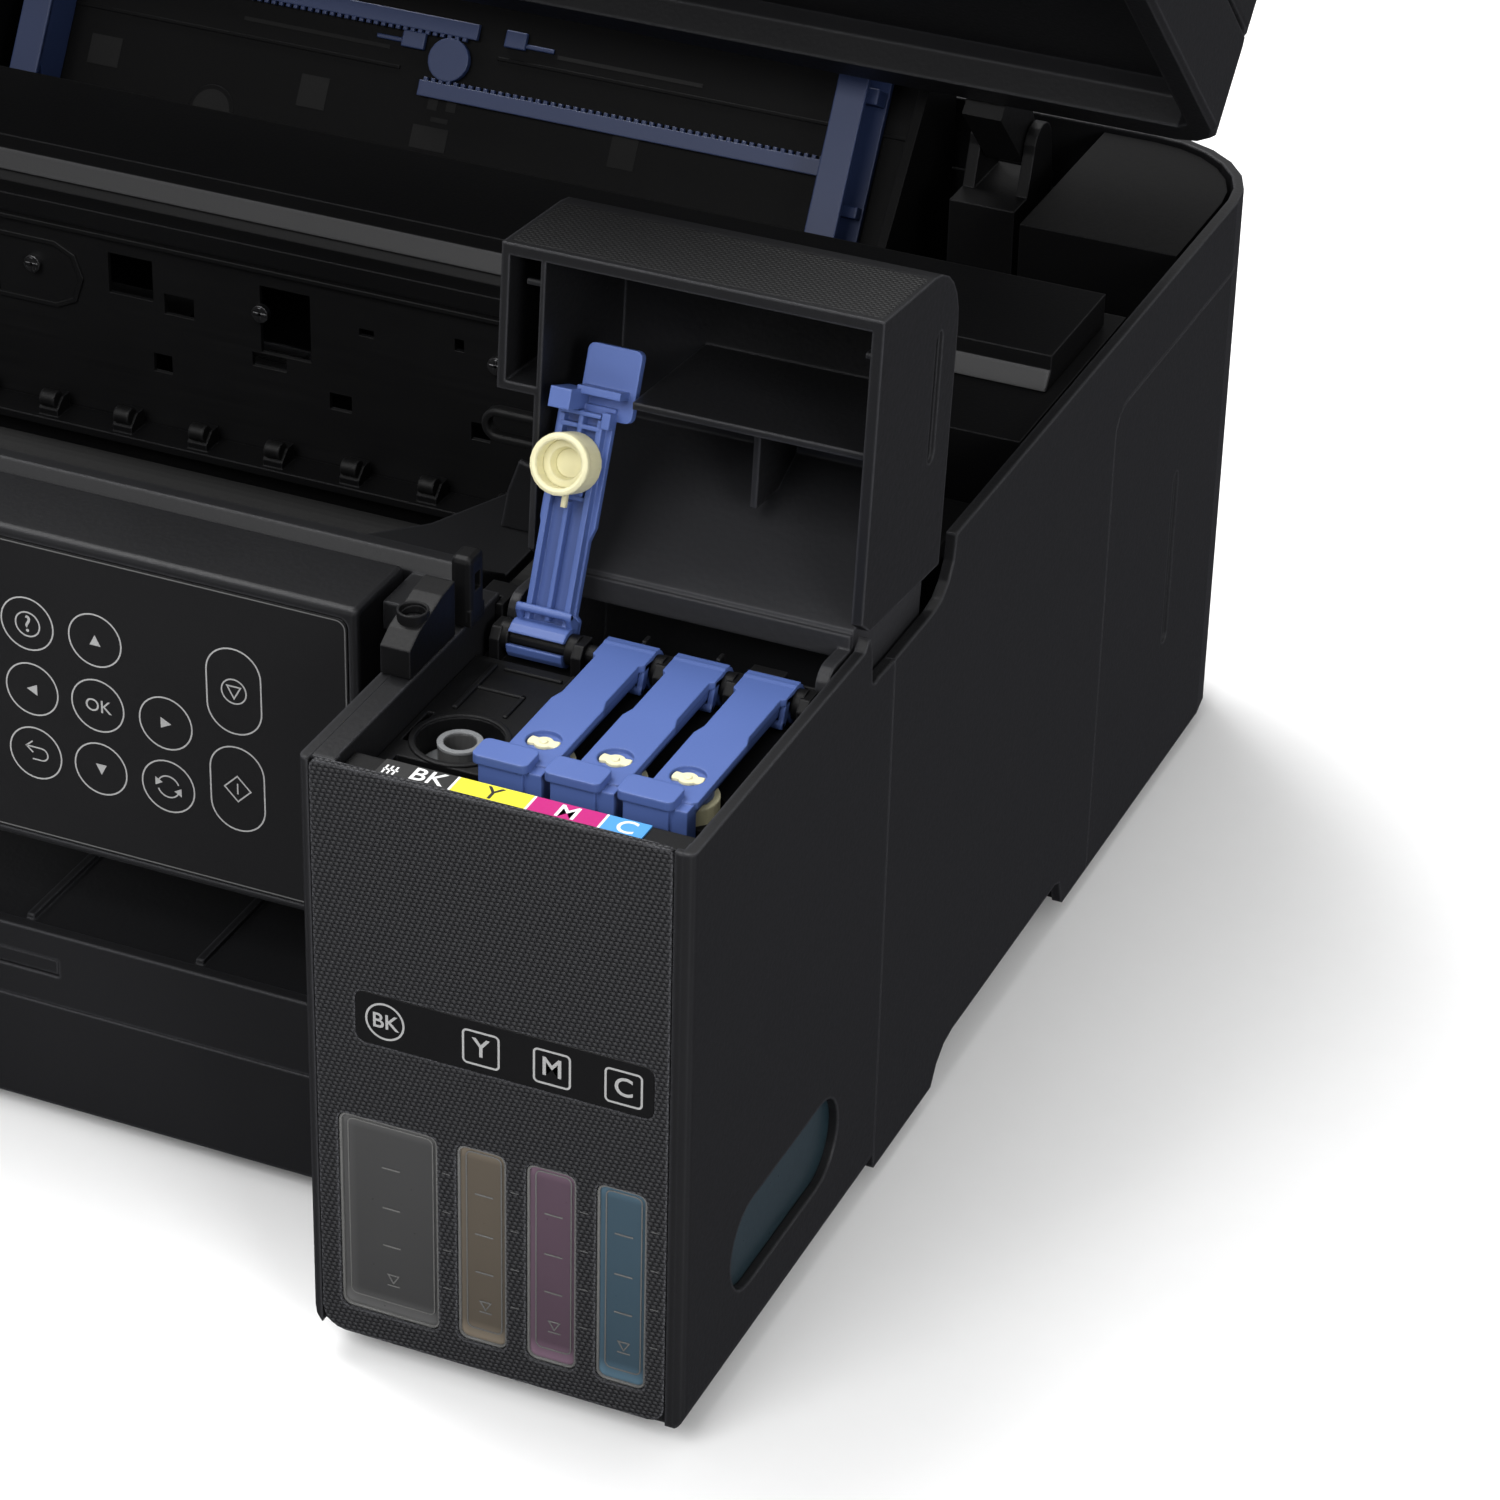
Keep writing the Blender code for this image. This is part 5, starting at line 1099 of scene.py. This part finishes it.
class PRINTER_OT_cover(bpy.types.Operator):
    """Add the hooks, inner ribs and woven face of the tank cover"""

    bl_idname = "printer.cover"
    bl_label = "Tank cover"

    def execute(self, context):
        # Painted shade: the cover's weave uses the darker copy of the woven finish
        skin = Piece("cover_weave", "woven_shaded")
        outline = round_rect((105.6, 186.2), (146.2, 171.0), 1.2, 3)
        skin.prism("Y", outline, TANK_FACE - 0.02, TANK_FACE + 0.1)
        skin.finish("cover", slot="woven_front", hinge=COVER_HINGE)
        hooks = Piece("cover_hooks", "cover")
        for x in (121.0, 170.5):
            hooks.block((x, x + 1.2), (-171.0, -166.5), (160.0, 161.2))
            hooks.block((x, x + 1.2), (-168.0, -166.5), (156.5, 160.6))
        hooks.block((181.6, 184.4), (-164.0, -162.8), (150.0, 158.0))
        hooks.block((108.6, 113.2), (-165.2, -164.0), (148.0, 149.2))
        hooks.finish("cover", bevel=0.25, hinge=COVER_HINGE)
        return {"FINISHED"}


def key_signs(piece, low, high, width):
    """The generic signs inside the keys: arrows, back, turn round, stop and start."""

    def mark(points, closed=False):
        piece.ribbon("Y", points, width, low, high, closed)

    def arrow(centre, dx, dz):
        """A filled triangle that points along dx and dz."""
        x, z = centre
        back, half, tip = 1.2, 1.3, 1.3
        base = [(x - dx * back + side * dz * half, z - dz * back + side * dx * half) for side in (-1, 1)]
        piece.prism("Y", [*base, (x + dx * tip, z + dz * tip)], low, high)

    arrow(UP_ARROW, 0, 1)
    arrow(DOWN_ARROW, 0, -1)
    arrow(LEFT_KEY, -1, 0)
    arrow(RIGHT_KEY, 1, 0)
    # Back
    mark([(9.2, 93.7), (12.9, 93.7)])
    mark(circle(12.9, 92.2, 1.5, 10, 90.0, -180.0))
    mark([(12.9, 90.7), (10.6, 90.7)])
    mark([(10.8, 95.1), (9.2, 93.7), (10.8, 92.3)])
    # Turn round
    x, z = 43.7, 92.4
    reach = 2.6
    for start in (20.0, 200.0):
        mark(circle(x, z, reach, 12, start, 130.0))
        end = math.radians(start + 130.0)
        px, pz = x + reach * math.cos(end), z + reach * math.sin(end)
        dx, dz = -math.sin(end), math.cos(end)
        head = [(px + dz, pz - dx), (px + dx * 1.7, pz + dz * 1.7), (px - dz, pz + dx)]
        piece.prism("Y", head, low, high)
    # Stop
    x, z = STOP_KEY
    mark(circle(x, z, 2.9, 28), True)
    mark([(x - 1.6, z + 1.2), (x, z - 1.7), (x + 1.6, z + 1.2)], True)
    # Start
    x, z = START_KEY
    mark([(x - 3.1, z), (x, z - 3.1), (x + 3.1, z), (x, z + 3.1)], True)
    mark([(x, z - 1.3), (x, z + 1.3)])


class PRINTER_OT_panel(bpy.types.Operator):
    """Add the outline, key signs, screen and lamp of the control panel"""

    bl_idname = "printer.panel"
    bl_label = "Control panel"

    def execute(self, context):
        line = sizes().line / MM
        low, high = PANEL_FACE - 0.06, PANEL_FACE + 0.02
        signs = Piece("panel_signs", "print")
        for x, z in ROUND_KEYS:
            signs.ribbon("Y", circle(x, z, KEY_RADIUS), line, low, high, True)
        for x, z in (STOP_KEY, START_KEY):
            outline = round_rect((x - 6.4, x + 6.4), (z - 10.2, z + 10.2), 6.3, 10)
            signs.ribbon("Y", outline, line, low, high, True)
        key_signs(signs, low, high, line * 0.95)
        signs.text("OK", 27.5, 107.9, 3.1, PANEL_FACE - 0.03)
        signs.text("?", 11.3, 123.8, 4.0, PANEL_FACE - 0.03, 0.03)
        signs.ribbon("Y", circle(11.3, 123.9, 2.9, 28), line, low, high, True)
        x, z = HOME_KEY
        signs.ribbon("Y", [(x - 2.6, z - 0.2), (x, z + 2.4), (x + 2.6, z - 0.2)], line, low, high)
        house = [(x - 1.8, z + 0.2), (x - 1.8, z - 2.4), (x + 1.8, z - 2.4), (x + 1.8, z + 0.2)]
        signs.ribbon("Y", house, line, low, high)
        signs.finish("panel", slot="printed_label")
        border = Piece("panel_outline", "print_dim")
        border.ribbon("Y", round_rect((-147.2, 86.6), (72.3, 143.1), 2.1), 0.3, low, high, True)
        border.finish("panel", slot="printed_label")
        screen = Piece("panel_screen", "screen")
        outline = round_rect((-85.6, -42.4), (97.4, 130.6), 0.6, 2)
        screen.prism("Y", outline, PANEL_FACE - 0.02, PANEL_FACE + 0.3)
        screen.finish("panel", bevel=0.06, segments=1, slot="printed_label")
        power = Piece("power_sign", "print")
        face = (PANEL_FACE - 0.46, PANEL_FACE - 0.39)
        x, z = POWER_KEY
        power.ribbon("Y", circle(x, z, 5.3), line, *face, closed=True)
        power.ribbon("Y", circle(x, z - 0.3, 2.0, 16, 125.0, 290.0), line, *face)
        power.ribbon("Y", [(x, z - 0.1), (x, z + 2.3)], line, *face)
        power.finish("power_key", slot="printed_label")
        lamps = Piece("panel_lamps", "white")
        for x in (-100.0, -28.0):
            lamps.prism("Y", circle(x, 126.0, 0.7, 16), low, high)
        lamps.finish("panel", slot="printed_label")
        return {"FINISHED"}


def on_slope(s, out=0.0):
    """A point of the feeder's face: distance up it and out of it."""
    return (
        FEEDER_BASE[0] + s * math.cos(FEEDER_TILT) - out * math.sin(FEEDER_TILT),
        FEEDER_BASE[1] + s * math.sin(FEEDER_TILT) + out * math.cos(FEEDER_TILT),
    )


class PRINTER_OT_chamber(bpy.types.Operator):
    """Add the wheels, belt, strip and mouldings of the carriage chamber"""

    bl_idname = "printer.chamber"
    bl_label = "Carriage chamber"

    def execute(self, context):
        first = (-133.0, 25.4, 90.4)
        size = (2.1, 2.1, 4.0)
        repeated("pinch_wheels", "wheel", "base", 12, first, (20.5, 0, 0), size, "black", (0, 90, 0))
        first = (-139.5, -4.0, 74.4)
        size = (1.0, 40.0, 1.0)
        repeated("exit_ribs", "bar", "base", 24, first, (10.0, 0, 0), size, "inner")
        wall = Piece("chassis_mouldings", "metal")
        bead = [(-149.0, 112.6), (-72.0, 112.6), (-67.0, 115.0), (-65.0, 121.0), (-67.0, 126.5)]
        bead += [(-72.0, 129.0), (-149.0, 129.0)]
        wall.ribbon("Y", bead, 1.3, 31.4, 32.2)
        wall.block((-149.2, 100.0), (30.6, 32.2), (133.4, 134.6))
        wall.finish("base", bevel=0.2)
        first = (-78.0, 31.4, 122.6)
        size = (2.2, 2.2, 1.6)
        repeated("chassis_screws", "screw", "base", 3, first, (62.0, 0, 0), size, "screw", (90, 0, 0))
        ridge = Piece("bar_ridge", "inner")
        section = [(33.6, 134.6), (35.0, 133.4), (37.6, 133.4), (37.6, 138.6), (35.4, 138.6), (34.0, 137.4)]
        ridge.prism("X", section, -149.0, 100.2)
        ridge.finish("base", bevel=0.9, segments=3)
        return {"FINISHED"}


class PRINTER_OT_frame(bpy.types.Operator):
    """Add the lit strip, the deck plate and the small mouldings round the body's rim"""

    bl_idname = "printer.frame"
    bl_label = "Frame and rim"

    def execute(self, context):
        strip = Piece("bar_strip", "strip")
        section = [(38.3, 142.35), (41.1, 146.4), (40.9, 146.5), (38.1, 142.45)]
        strip.prism("X", section, -178.2, 178.2)
        strip.finish("base", slot="dark_inner_casing")
        loop = Piece("lever_loop", "black")
        outline = round_rect((88.5, 105.5), (157.6, 163.6), 2.9, 6)
        loop.ribbon("Y", outline, 1.7, -61.4, -58.6, closed=True)
        loop.block((100.6, 103.6), (-61.6, -58.4), (134.2, 158.4))
        loop.finish("base", bevel=0.4)
        boss = Piece("screw_boss", "inner")
        boss.turned("Z", BLOCK_SCREW, [(2.75, 153.0), (3.3, 153.0), (3.3, 155.6), (2.75, 155.6)])
        boss.finish("base", bevel=0.12, segments=1)
        first = (*BLOCK_SCREW, 152.6)
        size = (2.4, 2.4, 1.2)
        repeated("block_screw", "screw", "base", 1, first, (1, 0, 0), size, "screw", (0, 0, 30))
        plate = Piece("corner_plate", "casing_fine")
        outline = [(90.0, 134.2), (100.2, 134.2), (100.2, 149.6), (94.4, 151.0), (91.6, 143.0)]
        plate.prism("Y", outline, -57.0, -55.6)
        plate.finish("base", bevel=0.3)
        return {"FINISHED"}


def slope_patch(piece, points, low, high):
    """A flat outline on the feeder's face, given as X and distance up the slope."""
    piece.skin(
        [[piece.bm.verts.new((x, *on_slope(up, out))) for x, up in points] for out in (low, high)]
    )


class PRINTER_OT_feeder(bpy.types.Operator):
    """Add the rack teeth, fins and catches of the guides, and the ledges and the painted shade of the holes
    and grooves of the sheet feeder
    """

    bl_idname = "printer.feeder"
    bl_label = "Sheet feeder"

    def execute(self, context):
        tooth = sizes().tooth / MM
        for side, body in ((-1, "left_guide"), (1, "right_guide")):
            y, z = on_slope(25.0 - side * 5.8, 1.4)
            start, stop = sorted((PINION_X + side * 107.0, PINION_X - side * 6.0))
            first = (start + 1.0, y, z)
            size = (tooth * 0.5, 1.0, 1.3)
            count = int((stop - start) / tooth)
            step = (tooth, 0, 0)
            repeated("rack_teeth_" + body, "bar", body, count, first, step, size, "guide", (60, 0, 0))
            fin = Piece("guide_details_" + body, "guide")
            x = PINION_X + side * 108.0
            for up, out, inner, outer in (
                ((34, 38), (2.2, 9.0), 0.2, 9.6),
                ((6, 9), (2.2, 6.0), 0.2, 9.6),
                ((-2, 52), (12.0, 13.6), 0.0, 8.0),
            ):
                section = [on_slope(*point) for point in rectangle(up, out)]
                fin.prism("X", section, *sorted((x + side * inner, x + side * outer)))
            fin.finish(body, bevel=0.3, slot="blue_plastic")
        # Flat near-black patches on the feeder's face for its holes and slots: painted shade for their dark
        # insides
        holes = Piece("feeder_hole_shade", "hole_shade")
        for x, up in (
            ((-126.0, -117.0), (6.3, 14.0)),
            ((-64.5, -56.5), (6.2, 14.5)),
            ((-31.0, -21.0), (1.7, 7.6)),
            ((23.3, 30.5), (6.8, 14.9)),
            ((-28.3, -25.6), (11.9, 14.7)),
            ((-23.1, -20.4), (12.2, 15.0)),
            ((-26.6, -21.9), (9.0, 10.2)),
            ((-84.0, -42.0), (25.0, 26.0)),
            ((4.0, 44.0), (30.6, 31.6)),
        ):
            slope_patch(holes, rectangle(x, up), -0.1, 0.12)
        slope_patch(holes, circle(-88.0, 0.6, 5.4, 16, 0.0, 180.0), -0.1, 0.12)
        slope_patch(holes, circle(-21.5, 43.0, 1.7, 16), -0.1, 0.12)
        holes.finish("base")
        ledges = Piece("feeder_ledges", "deep")
        for x, up in (
            ((-146.0, -38.0), (20.4, 21.4)),
            ((-12.0, 100.0), (27.4, 28.4)),
            ((-146.0, 100.0), (44.6, 45.6)),
        ):
            slope_patch(ledges, rectangle(x, up), -0.2, 0.5)
        slope_patch(ledges, circle(-88.0, 0.6, 6.6, 20, 0.0, 180.0), -0.2, 0.1)
        ledges.finish("base", bevel=0.15)
        catches = Piece("rack_catches", "guide")
        for x, up, height in (
            ((-38.6, -32.2), (26.2, 30.6), 1.6),
            ((-46.0, -38.6), (27.2, 28.4), 0.9),
            ((-10.6, -4.8), (31.0, 35.4), 1.6),
            ((-4.8, 3.0), (31.6, 32.8), 0.9),
        ):
            slope_patch(catches, rectangle(x, up), 0.1, height)
        catches.finish("base", bevel=0.3, slot="blue_plastic")
        return {"FINISHED"}


class PRINTER_OT_scanner(bpy.types.Operator):
    """Add the underside mouldings of the scanner unit"""

    bl_idname = "printer.scanner"
    bl_label = "Scanner unit"

    def execute(self, context):
        under = Piece("scanner_bosses", "casing")
        outline = round_rect((-160.0, 74.0), (-92.0, 100.0), 14.0, 6)
        under.ribbon("Z", outline, 1.6, 155.6, 157.2, True)
        under.finish("scanner", bevel=0.4, hinge=SCANNER_HINGE)
        first = (-170.0, -100.0, 156.4)
        size = (3.0, 3.0, 1.6)
        turn = (0, 0, 0)
        step = (84.0, 0, 0)
        repeated(
            "scanner_screws", "screw", "scanner", 4, first, step, size, "screw", turn, SCANNER_HINGE
        )
        return {"FINISHED"}


class PRINTER_OT_rear(bpy.types.Operator):
    """Add the contacts of the inlet and the socket at the back"""

    bl_idname = "printer.rear"
    bl_label = "Back of the body"

    def execute(self, context):
        pins = Piece("inlet_pins", "rod")
        for x in (-130.0, -122.0):
            pins.rod("Y", (x, 30.0), 1.2, 157.6, 168.0, 16, 0.4)
        pins.finish("base", slot="sheet_metal")
        tongue = Piece("port_tongue", "white")
        tongue.block((-89.6, -84.4), (161.6, 170.0), (24.4, 27.6))
        tongue.finish("base", bevel=0.2)
        return {"FINISHED"}


class PRINTER_OT_stage(bpy.types.Operator):
    """Add the pale floor, the soft lights and the camera"""

    bl_idname = "printer.stage"
    bl_label = "Stage"

    def execute(self, context):
        scene = context.scene
        mesh = bpy.data.meshes.new("floor")
        bm = bmesh.new()
        bmesh.ops.create_grid(bm, x_segments=1, y_segments=1, size=6.0)
        bm.to_mesh(mesh)
        bm.free()
        floor = bpy.data.objects.new("floor", mesh)
        scene.collection.objects.link(floor)
        paper = Finish("floor_paper")
        speck = paper.noise(0.01, 3.0)
        paper.set(
            Base_Color=paper.mix(speck, (0.88, 0.88, 0.88), (0.9, 0.9, 0.9)),
            Roughness=0.8,
            Specular_IOR_Level=0.1,
        )
        mesh.materials.append(paper.material)
        floor.visible_glossy = False
        world = bpy.data.worlds.new("studio")
        world.use_nodes = True
        background = world.node_tree.nodes["Background"]
        background.inputs["Strength"].default_value = 0.7
        sky = Shading(world.node_tree)
        where = sky.node("ShaderNodeTexCoord", output="Generated")
        height = sky.node("ShaderNodeSeparateXYZ", None, {"Vector": where}, "Z")
        tint = sky.node("ShaderNodeValToRGB", {"stops": SKY}, {"Fac": height})
        sky.tree.links.new(tint.socket, background.inputs["Color"])
        scene.world = world
        for name, light in LIGHTS.items():
            lamp = bpy.data.lights.new(name, "AREA")
            lamp.size = light["size"]
            lamp.energy = light["power"]
            holder = bpy.data.objects.new(name, lamp)
            scene.collection.objects.link(holder)
            place, aim = Vector(light["place"]), Vector(light["aim"])
            holder.location = place
            holder.rotation_euler = (aim - place).to_track_quat("-Z", "Y").to_euler()
        camera = bpy.data.cameras.new("camera")
        camera.lens = CAMERA_LENS
        camera.sensor_width = 36.0
        camera.clip_start = 0.05
        camera.clip_end = 30.0
        holder = bpy.data.objects.new("camera", camera)
        scene.collection.objects.link(holder)
        turn, drop, roll = (math.radians(a) for a in (CAMERA_TURN, CAMERA_DROP, CAMERA_ROLL))
        ahead = Vector(
            (-math.sin(turn) * math.cos(drop), math.cos(turn) * math.cos(drop), -math.sin(drop))
        )
        right = Vector((math.cos(turn), math.sin(turn), 0.0))
        up = right.cross(ahead)
        x_axis = right * math.cos(roll) + up * math.sin(roll)
        y_axis = -right * math.sin(roll) + up * math.cos(roll)
        z_axis = -ahead
        place = Matrix((x_axis, y_axis, z_axis)).transposed().to_4x4()
        place.translation = Vector(CAMERA_PLACE)
        holder.matrix_world = place
        scene.camera = holder
        scene.view_settings.view_transform = "Standard"
        return {"FINISHED"}


STEPS = (
    PRINTER_OT_finishes,
    PRINTER_OT_windows,
    PRINTER_OT_labels,
    PRINTER_OT_levers,
    PRINTER_OT_tank_top,
    PRINTER_OT_cover,
    PRINTER_OT_panel,
    PRINTER_OT_chamber,
    PRINTER_OT_frame,
    PRINTER_OT_feeder,
    PRINTER_OT_scanner,
    PRINTER_OT_rear,
    PRINTER_OT_stage,
)


class PRINTER_PT_panel(bpy.types.Panel):
    """Lists the steps, sizes and colours of the printer"""

    bl_label = "Ink tank printer"
    bl_idname = "PRINTER_PT_panel"
    bl_space_type = "VIEW_3D"
    bl_region_type = "UI"
    bl_category = "Printer"

    def draw(self, context):
        layout = self.layout
        for step in STEPS:
            layout.operator(step.bl_idname)
        for group in (context.scene.printer_sizes, context.scene.printer_colours):
            for name in group.bl_rna.properties.keys():
                if name not in {"rna_type", "name"}:
                    layout.prop(group, name)


CLASSES = (PrinterColours, PrinterSizes, *STEPS, PRINTER_PT_panel)


def register():
    for cls in CLASSES:
        bpy.utils.register_class(cls)
    bpy.types.Scene.printer_colours = bpy.props.PointerProperty(type=PrinterColours)
    bpy.types.Scene.printer_sizes = bpy.props.PointerProperty(type=PrinterSizes)


def unregister():
    del bpy.types.Scene.printer_sizes
    del bpy.types.Scene.printer_colours
    for cls in reversed(CLASSES):
        bpy.utils.unregister_class(cls)


def main():
    register()
    for step in STEPS:
        group, name = step.bl_idname.split(".")
        getattr(getattr(bpy.ops, group), name)()
    bpy.context.view_layer.update()


if __name__ == "__main__":
    main()
